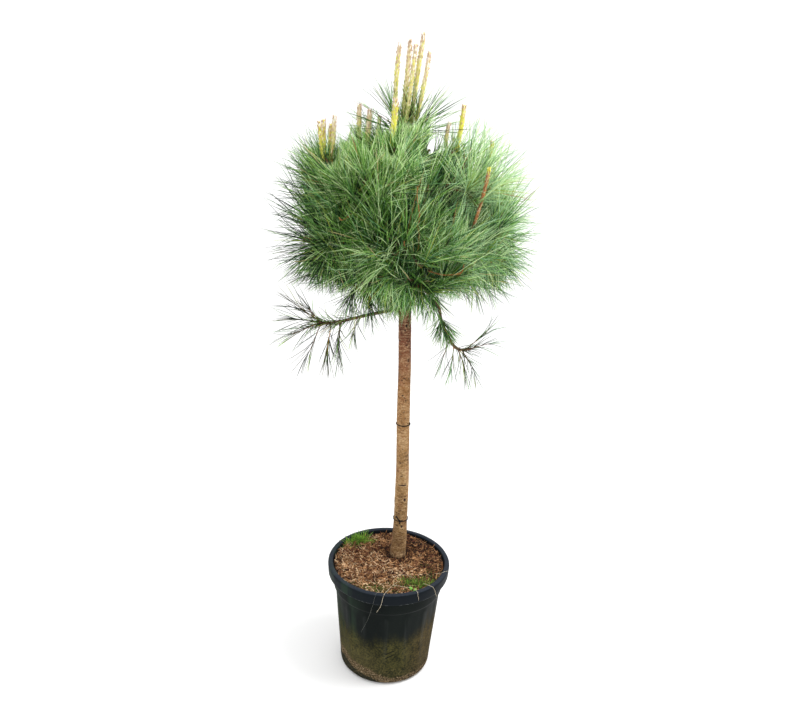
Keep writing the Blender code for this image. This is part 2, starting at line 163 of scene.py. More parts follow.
# Fans that close a grid's first and last rows on the two points that follow it
def endFans(rows, columns):
    j = np.arange(columns)
    k = (j + 1) % columns
    count, last = rows * columns, (rows - 1) * columns
    return np.concatenate([np.stack([np.full(columns, count), k, j], -1),
                           np.stack([np.full(columns, count + 1), last + j, last + k], -1)])


# Tubes along paths (tubes, steps, 3): ring points are centre + radius·(cos·side + sin·lift), where side and
# lift are square to the path, and both ends close on a middle point
def sweepTubes(paths, radii, sides):
    count, steps = paths.shape[:2]
    ahead = unit(np.gradient(paths, axis=1))
    whole = np.abs(paths[:, -1] - paths[:, 0])
    square = np.eye(3)[whole.argmin(-1)][:, None]
    side = unit(np.cross(square, ahead))
    lift = np.cross(ahead, side)
    ring = swing(roundTurns(sides), side[:, :, None], lift[:, :, None])
    body = (paths[:, :, None] + np.asarray(radii)[:, :, None, None] * ring).reshape(count, -1, 3)
    points = np.concatenate([body, paths[:, :1], paths[:, -1:]], 1)
    shift = (np.arange(count) * (steps * sides + 2))[:, None, None]
    quads = (gridFaces(steps, sides)[None] + shift).reshape(-1, 4)
    return points.reshape(-1, 3), quads, (endFans(steps, sides)[None] + shift).reshape(-1, 3)


# Needles and blades: middle(t) = root + length·(t·way + bow·t²·sag) at four values of t, three corners round
# each but the last, which is the point; six faces of four corners, root first, then four of three
def growNeedles(root, way, sag, length, bow, width):
    count = len(root)
    t = np.array([0.0, 0.34, 0.70, 1.0])[:, None]
    run = way[:, None] * t + (bow[:, None, None] * sag[:, None]) * t ** 2
    middle = root[:, None] + length[:, None, None] * run
    side = unit(np.cross(way, sag))
    lift = np.cross(way, side)
    ring = swing(roundTurns(3) + 0.5, side[:, None], lift[:, None])
    thick = 0.5 * width[:, None] * np.array([0.8, 1.0, 0.82])
    body = middle[:, :3, None] + thick[:, :, None, None] * ring[:, None]
    points = np.concatenate([body.reshape(count, 9, 3), middle[:, 3:]], 1)
    shift = (np.arange(count) * 10)[:, None, None]
    ends = np.array([[6, 7, 9], [7, 8, 9], [8, 6, 9], [0, 2, 1]])
    quads = (gridFaces(3, 3)[None] + shift).reshape(-1, 4)
    return points.reshape(-1, 3), quads, (ends[None] + shift).reshape(-1, 3)


# Puts points and faces into a new piece. Faces are arrays of three or four corners; tones gives each face's
# material, numbers each point's own values, and stands the frame's nodes that the piece replaces
def makePiece(name, points, faces, materials, tones=None, numbers=None, stands=(), smooth=True):
    corners = np.concatenate([part.ravel() for part in faces])
    sizes = np.concatenate([np.full(len(part), part.shape[1]) for part in faces])
    mesh = bpy.data.meshes.new(name)
    mesh.vertices.add(len(points))
    mesh.vertices.foreach_set("co", np.asarray(points, np.float32).ravel())
    mesh.loops.add(len(corners))
    mesh.loops.foreach_set("vertex_index", corners.astype(np.int32))
    mesh.polygons.add(len(sizes))
    mesh.polygons.foreach_set("loop_start", (np.cumsum(sizes) - sizes).astype(np.int32))
    mesh.polygons.foreach_set("use_smooth", np.full(len(sizes), smooth))
    for material in materials:
        mesh.materials.append(material)
    if tones is not None:
        mesh.polygons.foreach_set("material_index", np.concatenate(tones).astype(np.int32))
    for label, values in (numbers or {}).items():
        own = mesh.attributes.new(label, "FLOAT", "POINT")
        own.data.foreach_set("value", np.asarray(values, np.float32).ravel())
    mesh.update(calc_edges=True)
    mesh.validate()
    piece = bpy.data.objects.new(name, mesh)
    bpy.context.scene.collection.objects.link(piece)
    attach(piece, "root")
    if stands:
        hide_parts(*stands)


# Joins several sets of (points, quads, triangles, tone of each shape) into one piece's points, faces and tones
def joinShapes(sets):
    points, quads, tris, quadTones, triTones, done = [], [], [], [], [], 0
    for shapePoints, shapeQuads, shapeTris, tone in sets:
        count = len(tone)
        points.append(shapePoints)
        quads.append(shapeQuads + done)
        tris.append(shapeTris + done)
        quadTones.append(np.repeat(tone, len(shapeQuads) // count))
        triTones.append(np.repeat(tone, len(shapeTris) // count))
        done += len(shapePoints)
    faces = [np.concatenate(quads), np.concatenate(tris)]
    return np.concatenate(points), faces, [np.concatenate(quadTones), np.concatenate(triTones)]


# One output of a material's nodes, so that shader sums read as sums
class Wire:
    def __init__(self, tree, socket=None):
        self.tree, self.socket = tree, socket

    # A new node of that kind: settings first, then the values or wires of its sockets; gives the named output
    def node(self, kind, settings=None, values=None, output=0):
        made = self.tree.nodes.new("ShaderNode" + kind)
        for key, value in (settings or {}).items():
            if key == "stops":
                for i, (place, colour) in enumerate(value):
                    stop = made.color_ramp.elements[i] if i < 2 else made.color_ramp.elements.new(place)
                    stop.position = place
                    stop.color = (*colour, 1.0)
            else:
                setattr(made, key, value)
        for key, value in (values or {}).items():
            if isinstance(value, Wire):
                self.tree.links.new(value.socket, made.inputs[key])
            else:
                made.inputs[key].default_value = value
        return Wire(self.tree, made.outputs[output])

    def sum(self, operation, first, second):
        return self.node("Math", {"operation": operation}, {0: first, 1: second})

    def __add__(self, other):
        return self.sum("ADD", self, other)

    def __sub__(self, other):
        return self.sum("SUBTRACT", self, other)

    def __rsub__(self, other):
        return self.sum("SUBTRACT", other, self)

    def __mul__(self, other):
        return self.sum("MULTIPLY", self, other)

    __radd__ = __add__
    __rmul__ = __mul__

    # A share from 0 to 1 as this value goes from low to high, or from high to low
    def between(self, low, high):
        return self.node("MapRange", {"interpolation_type": "SMOOTHSTEP"}, {0: self, 1: low, 2: high})

    # Colour a where this share is 0, b where it is 1
    def blend(self, a, b):
        pair = [value if isinstance(value, Wire) else (*value, 1.0) for value in (a, b)]
        return self.node("Mix", {"data_type": "RGBA"}, {0: self, 6: pair[0], 7: pair[1]}, 2)

    # Noise on the object's own coordinates, stretched by size along each axis
    def noise(self, scale, size=(1, 1, 1), detail=3.0, rough=0.55):
        place = self.node("TexCoord", output="Object")
        place = self.node("Mapping", {}, {0: place, 3: size})
        values = {"Vector": place, "Scale": scale, "Detail": detail, "Roughness": rough}
        return self.node("TexNoise", {}, values)

    # Height over the floor, or another coordinate
    def along(self, axis):
        place = self.node("TexCoord", output="Object")
        return self.node("SeparateXYZ", {}, {0: place}, axis)

    def stored(self, name):
        return self.node("Attribute", {"attribute_name": name}, output="Fac")


# A material with its shader; plain numbers and colours go straight to the shader's own sockets
def newMaterial(name, values):
    material = bpy.data.materials.new(name)
    material.use_nodes = True
    shader = material.node_tree.nodes["Principled BSDF"]
    for key, value in values.items():
        shader.inputs[key].default_value = (*value, 1.0) if isinstance(value, tuple) else value
    return material, Wire(material.node_tree), shader


def feed(wire, shader, key):
    wire.tree.links.new(wire.socket, shader.inputs[key])


# Bump from a height wire
def bumpFrom(height, strength, distance):
    return height.node("Bump", {}, {"Strength": strength, "Distance": distance, "Height": height})


# One plain material for each named colour
def plainColours(label, colours, roughness):
    return [newMaterial(f"{label}_{name}", {"Base Color": colour, "Roughness": roughness,
                                            "Specular IOR Level": 0.2})[0] for name, colour in colours.items()]


# A material whose two colours are mixed by fine noise
def mottledMaterial(name, values, scale, edges, dark, pale):
    material, wire, shader = newMaterial(name, values)
    patches = wire.noise(scale)
    feed(patches.between(*edges).blend(dark, pale), shader, "Base Color")
    return material, patches, shader


# Camera, floor and light

cameraPlan = dict(place=(0.0, -1.9964, 1.6552), down=15.99, pan=-0.13, roll=2.69, lens=30.96)
lightPlan = dict(worldStrength=1.2, floorColour=(0.93, 0.93, 0.93), floorReach=8,
                 # place, size, power and the point it shines at
                 lamps={"keyLight": ((1.5, -0.2, 3.4), 1.5, 70, (0, 0, 1.1)),
                        "fillLight": ((-1.6, -2.2, 2.4), 2.2, 14, (0, 0, 0.8))})


def makeCamera():
    data = bpy.data.cameras.new("camera")
    data.lens = cameraPlan["lens"]
    data.sensor_width = 36.0
    data.dof.use_dof = False
    camera = bpy.data.objects.new("camera", data)
    bpy.context.scene.collection.objects.link(camera)
    turn = (Matrix.Rotation(math.radians(cameraPlan["pan"]), 4, "Z")
            @ Matrix.Rotation(math.radians(90 - cameraPlan["down"]), 4, "X")
            @ Matrix.Rotation(math.radians(cameraPlan["roll"]), 4, "Z"))
    camera.matrix_world = Matrix.Translation(cameraPlan["place"]) @ turn
    bpy.context.scene.camera = camera


def makeSoftLight(name, place, size, power, aim):
    data = bpy.data.lights.new(name, "AREA")
    data.shape = "DISK"
    data.size = size
    data.energy = power
    lamp = bpy.data.objects.new(name, data)
    bpy.context.scene.collection.objects.link(lamp)
    way = unit(np.array(place) - np.array(aim))
    side = unit(np.cross(up, way))
    turn = Matrix([side, np.cross(way, side), way]).transposed().to_4x4()
    lamp.matrix_world = Matrix.Translation(place) @ turn


def makeStage():
    world = bpy.data.worlds.new("sky")
    world.use_nodes = True
    background = world.node_tree.nodes["Background"]
    background.inputs["Color"].default_value = (1.0, 1.0, 1.0, 1.0)
    background.inputs["Strength"].default_value = lightPlan["worldStrength"]
    bpy.context.scene.world = world
    bpy.context.scene.view_settings.view_transform = "Standard"
    bpy.context.scene.view_settings.look = "None"
    for name, lamp in lightPlan["lamps"].items():
        makeSoftLight(name, *lamp)
    floorMaterial, _, _ = newMaterial("floor_white", {"Base Color": lightPlan["floorColour"], "Roughness": 0.9})
    far = lightPlan["floorReach"]
    mesh = bpy.data.meshes.new("floor")
    mesh.from_pydata([(-far, -far, 0), (far, -far, 0), (far, far, 0), (-far, far, 0)], [], [(0, 1, 2, 3)])
    mesh.materials.append(floorMaterial)
    floor = bpy.data.objects.new("floor", mesh)
    bpy.context.scene.collection.objects.link(floor)


# Pot: a turned profile of thick black plastic with upright ribs

pot = dict(columns=480, step=0.006, ribs=16, ribDepth=0.0024, dent=0.0006, floor=0.005)
potProfile = [  # radius, height and how much of the ribs each has, from the underside's middle up and in
    (0.000, 0.0, 0), (0.060, 0.0, 0), (0.137, 0.0, 0), (0.1400, 0.0008, 0), (0.1455, 0.0045, 0),
    (0.1495, 0.0100, 0), (0.1506, 0.0150, 0), (0.1512, 0.0200, 0.2), (0.1517, 0.0270, 0.8), (0.1523, 0.0360, 1),
    (0.1718, 0.2560, 1), (0.1722, 0.2650, 0.8), (0.1726, 0.2730, 0.2), (0.1728, 0.2790, 0), (0.1738, 0.2830, 0),
    (0.1778, 0.2858, 0), (0.1790, 0.2885, 0), (0.1793, 0.2930, 0), (0.1800, 0.3290, 0), (0.1806, 0.3318, 0),
    (0.1830, 0.3328, 0), (0.1955, 0.3330, 0), (0.1976, 0.3338, 0), (0.1982, 0.3362, 0), (0.1999, 0.3620, 0),
    (0.1995, 0.3660, 0), (0.1978, 0.3690, 0), (0.1950, 0.3700, 0), (0.1892, 0.3700, 0), (0.1858, 0.3690, 0),
    (0.1836, 0.3668, 0), (0.1826, 0.3630, 0), (0.1825, 0.3440, 0), (0.1822, 0.3400, 0), (0.1770, 0.3340, 0),
    (0.1752, 0.3280, 0), (0.1750, 0.2880, 0), (0.1690, 0.2810, 0), (0.1460, 0.0140, 0), (0.1360, 0.0050, 0),
    (0.0000, 0.0050, 0)]


# Radius at a turn = profile radius + ribs·depth·(cos⁶ of half the rib's turn), with the moulding's slight dents
def makePot():
    profile = np.array(potProfile)
    gaps = np.linalg.norm(np.diff(profile[:, :2], axis=0), axis=1)
    parts = np.maximum(1, np.round(gaps / pot["step"])).astype(int)
    place = np.concatenate([np.linspace(i, i + 1, n, endpoint=False) for i, n in enumerate(parts)])
    place = np.append(place, len(profile) - 1)
    radius, height, rib = [np.interp(place, np.arange(len(profile)), profile[:, k])[1:-1] for k in range(3)]
    turn = roundTurns(pot["columns"])
    crest = np.cos(turn * pot["ribs"] / 2) ** 6
    reach = radius[:, None] + rib[:, None] * pot["ribDepth"] * (crest[None] - 0.6)
    ring = np.stack([np.cos(turn), np.sin(turn)], -1)
    points = withHeight(reach[:, :, None] * ring, height[:, None])
    dent = pot["dent"] * cellNoise(points * [1, 1, 0.4], 0.06, 5) * (height[:, None] > 0.004)
    points[..., :2] += dent[..., None] * ring
    points = np.concatenate([points.reshape(-1, 3), [[0, 0, 0], [0, 0, pot["floor"]]]])
    crestShare = np.append((rib[:, None] * crest[None]).ravel(), [0, 0])
    faces = [gridFaces(len(radius), pot["columns"]), endFans(len(radius), pot["columns"])]
    makePiece("pot_shell", points, faces, [potPlastic()], numbers={"crest": crestShare}, stands=["pot"])


# Black plastic under a film of dust and algae that thickens to the foot, with scuffs and a band of soil, a
# painted highlight along the rim's top and a faint one on the rib crests
def potPlastic():
    material, wire, shader = newMaterial("pot_black_plastic", {"Specular IOR Level": 0.05})
    height, across = wire.along("Z"), wire.along("X")
    broad = wire.noise(7, (1, 1, 0.5), 4.0)
    streaks = wire.noise(26, (1, 1, 0.09), 4.0)
    grains = wire.noise(170, detail=4.0, rough=0.7)
    crumbs = wire.noise(330, detail=2.0)
    sides = (across * across).between(0.006, 0.027)
    black = broad.between(0.35, 0.65).blend((0.0022, 0.0038, 0.0036), (0.0048, 0.0072, 0.0062))
    black = height.between(0.328, 0.334).blend(black, (0.0046, 0.0070, 0.0095))
    low = height.between(0.240, 0.105)
    film = low * 1.15 + sides * 0.50 + (broad - 0.5) * 1.1 + (streaks - 0.5) * 1.2 - 0.12
    film = film.between(0.10, 0.95) * height.between(0.290, 0.225) * (grains.between(0.35, 0.60) * 0.55 + 0.45)
    mottle = (grains * 0.5 + broad * 0.3 + wire.noise(48, (1, 1, 0.6), 3.0) * 0.4).between(0.44, 0.74)
    olive = mottle.blend((0.008, 0.009, 0.003), (0.064, 0.058, 0.019))
    olive = (height.between(0.19, 0.07) * across.between(0.02, -0.06) * 0.5).blend(olive, (0.105, 0.088, 0.036))
    brown = mottle.blend((0.014, 0.011, 0.004), (0.088, 0.064, 0.027))
    right = across.between(0.04, 0.14)
    colour = (film * 0.95).blend(black, right.blend(olive, brown))
    green = streaks.between(0.44, 0.62) * across.between(-0.06, -0.13) * height.between(0.11, 0.20)
    colour = (green * 0.55).blend(colour, (0.017, 0.036, 0.020))
    middle = across * -0.30 + 0.020  # the soil band runs along the foot and climbs to the left
    middle = middle.sum("MINIMUM", middle, 0.060)
    middle = middle.sum("MAXIMUM", middle, 0.014)
    off = height - middle + (broad - 0.5) * 0.05
    below = off.between(-0.010, -0.020)
    colour = (below * 0.85).blend(colour, (0.0090, 0.0115, 0.0085))
    soil = (off * off).between(0.00040, 0.00006) * grains.between(0.36, 0.52)
    soil = soil * 0.85 + height.between(0.085, 0.02) * grains.between(0.50, 0.62) * 0.35
    earth = crumbs.between(0.36, 0.60).blend((0.030, 0.019, 0.010), (0.170, 0.118, 0.066))
    colour = soil.blend(colour, earth)
    bits = soil * crumbs.between(0.60, 0.68)
    colour = (bits * 0.9).blend(colour, (0.42, 0.33, 0.22))
    for start, rise in ((0.1250, 0.42), (0.1080, 0.50)):  # two scratches in the film
        gap = height - across * rise - start
        stroke = (gap * gap).between(0.0000110, 0.0000025)
        stroke = stroke * across.between(-0.004, 0.006) * across.between(0.038, 0.026)
        colour = (stroke * 0.85).blend(colour, (0.0050, 0.0060, 0.0045))
    lip = wire.noise(95, (1, 1, 0.2), 2.0).between(0.50, 0.57) * (broad.between(0.40, 0.52) * 0.6 + 0.4)
    edge = height.between(0.3322, 0.3330) * height.between(0.3346, 0.3336) * lip
    # edge: pale scuffs along the lip's lower edge; crest: a faint pale stripe on the rib crests low on the pot, a
    # painted highlight; worn carries both
    crest = wire.stored("crest").between(0.55, 1.0) * height.between(0.06, 0.16) * streaks.between(0.42, 0.6)
    worn = edge * 0.85 + crest * 0.035
    colour = worn.blend(colour, (0.30, 0.32, 0.33))
    # A soft blue-grey painted highlight along the rim's rounded top, flecked by the grains
    rimHighlight = height.between(0.3655, 0.3692) * (grains.between(0.35, 0.65) * 0.4 + 0.6)
    colour = (rimHighlight * 0.5).blend(colour, (0.044, 0.052, 0.070))
    feed(colour, shader, "Base Color")
    rough = film * 0.30 + soil * 0.20 + (grains - 0.5) * 0.12 + 0.50
    feed(rough.between(0.0, 1.0), shader, "Roughness")
    relief = grains * (film * 0.6 + soil + 0.12) + streaks * 0.15
    feed(bumpFrom(relief, 0.45, 0.002), shader, "Normal")
    return material


# Potting mix: an uneven closed bed with thousands of curled shreds and chips of bark lying on it

mix = dict(reach=0.1818, level=0.3545, uneven=0.0042, bottom=0.330, rows=90, columns=200, trunk=(0.029, 0.057),
           hollow=0.0045, shreds=5200, shredReach=0.1765, shredEdge=0.1800, clear=0.033, lift=0.0012, heap=0.0045,
           seed=41)
mixColours = {"straw": (0.78, 0.55, 0.33), "tan": (0.47, 0.255, 0.118), "ochre": (0.25, 0.118, 0.046),
              "redbrown": (0.140, 0.050, 0.026), "brown": (0.042, 0.019, 0.010), "dark": (0.012, 0.006, 0.004),
              "olive": (0.085, 0.085, 0.022)}
# Curled strips, chips and fibres: the share of all shreds at which each ends, its lengths and its widths
shredKinds = [(0.52, (0.012, 0.026), (0.0015, 0.0029)), (0.70, (0.006, 0.012), (0.0024, 0.0046)),
              (1.00, (0.018, 0.038), (0.0009, 0.0016))]


# Height of the bed: level + two sizes of noise, sinking by a bell shape round the trunk's foot
def bedHeight(places):
    flat = withHeight(places, 0)
    away = np.linalg.norm(places - np.array(mix["trunk"]), axis=-1)
    hollow = mix["hollow"] * np.exp(-((away - 0.034) / 0.020) ** 2)
    bumps = 0.75 * cellNoise(flat, 0.045, 3) + 0.45 * cellNoise(flat, 0.014, 4)
    return mix["level"] + mix["uneven"] * bumps - hollow


def makeMix():
    rows, columns = mix["rows"], mix["columns"]
    share = np.linspace(0, 1, rows + 1)[1:]
    turn = roundTurns(columns)
    spot = (share[:, None, None] * mix["reach"]) * np.stack([np.cos(turn), np.sin(turn)], -1)
    height = bedHeight(spot) + 0.0011 * cellNoise(withHeight(spot, 0), 0.0042, 9)
    top = withHeight(spot, height)
    under = top[-1:] * [1, 1, 0] + [0, 0, mix["bottom"]]
    middles = [[0, 0, bedHeight(np.zeros((1, 2)))[0]], [0, 0, mix["bottom"]]]
    points = np.concatenate([top.reshape(-1, 3), under.reshape(-1, 3), middles])
    faces = [gridFaces(rows + 1, columns)[:, ::-1], endFans(rows + 1, columns)[:, [0, 2, 1]]]
    material, wire, shader = newMaterial("mix_bed", {"Roughness": 0.95, "Specular IOR Level": 0.2})
    fine, coarse = wire.noise(330, detail=4.0, rough=0.7), wire.noise(45, detail=4.0)
    colour = fine.between(0.35, 0.70).blend((0.010, 0.006, 0.004), (0.060, 0.032, 0.018))
    feed(coarse.between(0.40, 0.65).blend(colour, (0.030, 0.015, 0.009)), shader, "Base Color")
    feed(bumpFrom(fine, 0.8, 0.003), shader, "Normal")
    makePiece("mix_bed", points, faces, [material], stands=["potting_mix"])


# A shred is a flat bar of four corners along a curled line: middle(t) = place + way·t·length + 4·curl·t²
def makeShreds():
    rng = np.random.default_rng(mix["seed"])
    count = mix["shreds"]
    away = mix["shredReach"] * np.sqrt(rng.random(count))
    turn = rng.random(count) * 2 * math.pi
    spot = np.stack([away * np.cos(turn), away * np.sin(turn)], -1)
    fromTrunk = np.linalg.norm(spot - np.array(mix["trunk"]), axis=-1)
    keep = fromTrunk > mix["clear"]
    spot, fromTrunk = spot[keep], fromTrunk[keep]
    count = len(spot)
    kind = np.searchsorted([row[0] for row in shredKinds[:-1]], rng.random(count))
    length, wide = [np.choose(kind, [rng.uniform(*row[k], count) for row in shredKinds]) for k in (1, 2)]
    thick = wide * rng.uniform(0.35, 0.75, count)
    head = rng.random(count) * 2 * math.pi
    tilt = rng.normal(0, 0.26, count)
    way = np.stack([np.cos(head) * np.cos(tilt), np.sin(head) * np.cos(tilt), np.sin(tilt)], -1)
    side = squareTo(unit(np.cross(up, way) + rng.normal(0, 0.35, (count, 3)) * [0.3, 0.3, 1]), way)
    lift = np.cross(way, side)
    curl = (side * rng.normal(0, 0.34, (count, 1)) + lift * rng.normal(0.0, 0.20, (count, 1))) * length[:, None]
    t = np.linspace(-0.5, 0.5, 4)[None, :, None]
    place = withHeight(spot, bedHeight(spot) + mix["lift"] + rng.uniform(0, mix["heap"], count))
    middle = place[:, None] + way[:, None] * length[:, None, None] * t + curl[:, None] * 4 * t ** 2
    away = np.linalg.norm(middle[..., :2], axis=-1, keepdims=True)
    middle[..., :2] *= np.minimum(1, mix["shredEdge"] / np.maximum(away, 1e-9))
    taper = np.array([0.55, 1.0, 0.9, 0.45])[None, :, None, None]
    corner = np.array([[1, 1], [-1, 1], [-1, -1], [1, -1]]) * 0.5
    across, over = (side * wide[:, None])[:, None], (lift * thick[:, None])[:, None]
    offset = corner[None, :, :1] * across + corner[None, :, 1:] * over
    points = (middle[:, :, None] + offset[:, None] * taper).reshape(-1, 3)
    shift = (np.arange(count) * 16)[:, None, None]
    ends = np.array([[0, 3, 2, 1], [12, 13, 14, 15]])
    quads = (np.concatenate([gridFaces(4, 4), ends])[None] + shift).reshape(-1, 4)
    # Shreds round the trunk's foot and at the back right are dealt darker, redder tones: painted shade in the
    # hollow round the foot and painted shadow of the rim at the back right; olive ones lie in front
    shade = rng.random(count) + 0.22 * smoothStep(0.075, 0.035, fromTrunk)
    shade += 0.20 * smoothStep(0.02, 0.14, spot[:, 0] * 0.8 + spot[:, 1] * 0.6)
    shade += 0.10 * cellNoise(withHeight(spot, 0), 0.03, 8)
    tone = np.digitize(shade, [0.13, 0.34, 0.54, 0.72, 0.90, 1.30])
    front = smoothStep(-0.10, -0.15, spot[:, 1]) * (rng.random(count) < 0.35)
    tone = np.where((front > 0.5) & (tone > 1), 6, tone)
    makePiece("mix_shreds", points, [quads], plainColours("mix", mixColours, 0.85), [np.repeat(tone, 14)],
              smooth=False)


# Trunk: rings along its leaning line, with the bark's relief pushed out of the round

trunkLine = [(0.0290, 0.057, 0.3520), (0.0322, 0.055, 0.47), (0.0308, 0.050, 0.66), (0.0250, 0.043, 0.84),
             (0.0205, 0.036, 1.03), (0.0145, 0.030, 1.19), (0.0030, 0.024, 1.45), (-0.0070, 0.020, 1.735)]
trunk = dict(foot=0.3563, crownStart=1.20, radiusLow=0.0222, radiusCrown=0.0190, radiusTip=0.0070, flare=0.0060,
             flareHeight=0.085, sunk=0.004, columns=112, rowsLow=560, rowsHigh=90, closeTo=1.24)
barkRelief = dict(swell=0.0008, plates=0.00055, rings=0.00038, grain=0.00016, cracks=0.00060, crackDark=0.62,
                  markDark=1.35, lip=0.9, ridgeSpan=0.0016)
trunkDense = smoothLine(trunkLine, 3000)


def trunkPoint(z):
    return np.stack([np.interp(z, trunkDense[:, 2], trunkDense[:, k]) for k in range(3)], -1)


# Radius: a straight taper below the crown and a faster one in it, plus a flare that dies away above the foot
def trunkRadius(z):
    foot, fork, top = trunk["foot"], trunk["crownStart"], trunkLine[-1][2]
    low = trunk["radiusLow"] + (trunk["radiusCrown"] - trunk["radiusLow"]) * (z - foot) / (fork - foot)
    high = trunk["radiusCrown"] + (trunk["radiusTip"] - trunk["radiusCrown"]) * (z - fork) / (top - fork)
    return np.where(z < fork, low, high) + trunk["flare"] * np.exp((foot - z) / trunk["flareHeight"])


# Marks on the bark: height, turn from the viewer's side, half height, half width (radians), depth and darkness
barkMarks = [
    (1.160, 0.25, 0.0055, 0.20, 0.0010, 0.85), (1.146, 0.02, 0.0040, 0.16, 0.0007, 0.6),
    (1.100, 0.30, 0.0035, 0.26, 0.0006, 0.4), (1.050, 0.62, 0.0060, 0.16, 0.0007, 0.55),
    (1.034, 0.38, 0.0032, 0.16, 0.0006, 0.45), (0.935, -0.20, 0.0030, 0.20, 0.0008, 0.6),
    (0.928, 0.10, 0.0026, 0.14, 0.0008, 0.6), (0.918, 0.34, 0.0036, 0.14, 0.0008, 0.5),
    (0.880, 0.10, 0.0024, 0.12, 0.0006, 0.5), (0.858, 0.34, 0.0020, 0.14, 0.0005, 0.4),
    (0.752, 0.02, 0.0026, 0.09, 0.0006, 0.7), (0.714, 0.38, 0.0022, 0.12, 0.0005, 0.5),
    (0.656, -0.12, 0.0024, 0.34, 0.0009, 0.45), (0.623, 0.12, 0.0032, 0.78, 0.0012, 1.0),
    (0.628, 0.45, 0.0028, 0.12, 0.0007, 0.5), (0.569, 0.50, 0.0064, 0.22, 0.0013, 0.95),
    (0.472, 0.20, 0.0060, 0.18, 0.0011, 0.95), (0.462, 0.38, 0.0026, 0.10, 0.0007, 0.55),
    (0.560, -1.30, 0.012, 0.25, 0.0010, 0.5), (0.985, -0.40, 0.0030, 0.14, 0.0006, 0.4),
    (0.790, -0.30, 0.0022, 0.10, 0.0005, 0.4)]


# Relief = swell + plates + level rings + grain - cracks - marks, each a noise on (cos, sin, height); the upper
# plates and cracks are rougher, and every mark has a raised lip
def makeTrunk():
    z = np.concatenate([np.linspace(trunk["foot"], trunk["closeTo"], trunk["rowsLow"], endpoint=False),
                        np.linspace(trunk["closeTo"], trunkLine[-1][2], trunk["rowsHigh"])])
    turn = roundTurns(trunk["columns"])
    ring = np.stack([np.cos(turn), np.sin(turn)], -1)
    skin = withHeight(np.broadcast_to(0.021 * ring, (len(z), len(turn), 2)), z[:, None])
    broad = cellNoise(skin * [1, 1, 0.5], 0.030, 11)
    plates = layeredNoise(skin * [1, 1, 0.55], 0.0095, 12)
    rings = layeredNoise(skin * [0.45, 0.45, 1.6], 0.0075, 15, 2)
    grain = cellNoise(skin, 0.0021, 18)
    rough = smoothStep(0.98, 1.10, z)[:, None] * 0.5 + 0.75
    specks = cellNoise(skin * [0.7, 0.7, 1.3], 0.0052, 21) + 0.5 * cellNoise(skin, 0.0026, 22)
    cracks = smoothStep(0.55, 0.95, specks + 0.35 * cellNoise(skin, 0.030, 23))
    relief = barkRelief["swell"] * broad + barkRelief["plates"] * plates * rough + barkRelief["rings"] * rings
    relief = relief + barkRelief["grain"] * grain - barkRelief["cracks"] * cracks * rough
    dark = barkRelief["crackDark"] * cracks
    wrap = (turn + math.pi / 2 + math.pi) % (2 * math.pi) - math.pi  # 0 faces the viewer
    for height, at, tall, wide, depth, shade in barkMarks:
        wobble = 0.35 * cellNoise(skin, 0.004, int(height * 1000))
        reach = ((z[:, None] - height) / tall) ** 2 + ((wrap[None] - at) / wide) ** 2 + wobble
        inner = smoothStep(1.25, 0.30, reach)
        lipped = smoothStep(3.2, 1.4, reach) - inner
        relief += barkRelief["lip"] * depth * lipped - depth * inner
        dark = np.maximum(dark, min(barkRelief["markDark"] * shade, 1) * inner)
    reach = trunkRadius(z)[:, None] + relief
    points = trunkPoint(z)[:, None] + withHeight(reach[..., None] * ring, 0)
    points[0, :, 2] = trunk["foot"] - trunk["sunk"]
    foot = [*trunkPoint(z[0])[:2], trunk["foot"] - trunk["sunk"]]
    points = np.concatenate([points.reshape(-1, 3), [foot], [trunkPoint(z[-1])]])
    ridge = np.clip(0.5 + relief / barkRelief["ridgeSpan"], 0, 1)
    numbers = {"dark": np.append(dark.ravel(), [0, 0]), "ridge": np.append(ridge.ravel(), [0.5, 0.5])}
    makePiece("trunk_bark", points, [gridFaces(len(z), len(turn)), endFans(len(z), len(turn))], [trunkBark()],
              numbers=numbers, stands=["trunk"])


barkTones = [  # height and colour
    (0.34, (0.095, 0.046, 0.018)), (0.39, (0.190, 0.104, 0.038)), (0.48, (0.236, 0.134, 0.046)),
    (0.62, (0.252, 0.141, 0.050)), (0.80, (0.256, 0.131, 0.045)), (0.95, (0.246, 0.113, 0.036)),
    (1.04, (0.205, 0.080, 0.031)), (1.10, (0.165, 0.050, 0.024)), (1.20, (0.110, 0.036, 0.018))]


# Tan below, ochre in the middle and red brown under the crown, with a painted highlight on the relief's ridges,
# painted shade in its hollows, and dark cracks from the relief
def trunkBark():
    material, wire, shader = newMaterial("trunk_bark", {"Specular IOR Level": 0.3})
    height = wire.along("Z")
    patches, fine = wire.noise(38, (1, 1, 0.55), 4.0), wire.noise(420, (1, 1, 0.8), rough=0.65)
    rings = wire.noise(95, (0.4, 0.4, 2.6))
    place = height + (patches - 0.5) * 0.13
    base = place.node("ValToRGB", {"stops": [(0.8 * z, tone) for z, tone in barkTones]}, {0: place * 0.8})
    return finishBark(wire, shader, material, base, patches, fine, rings)


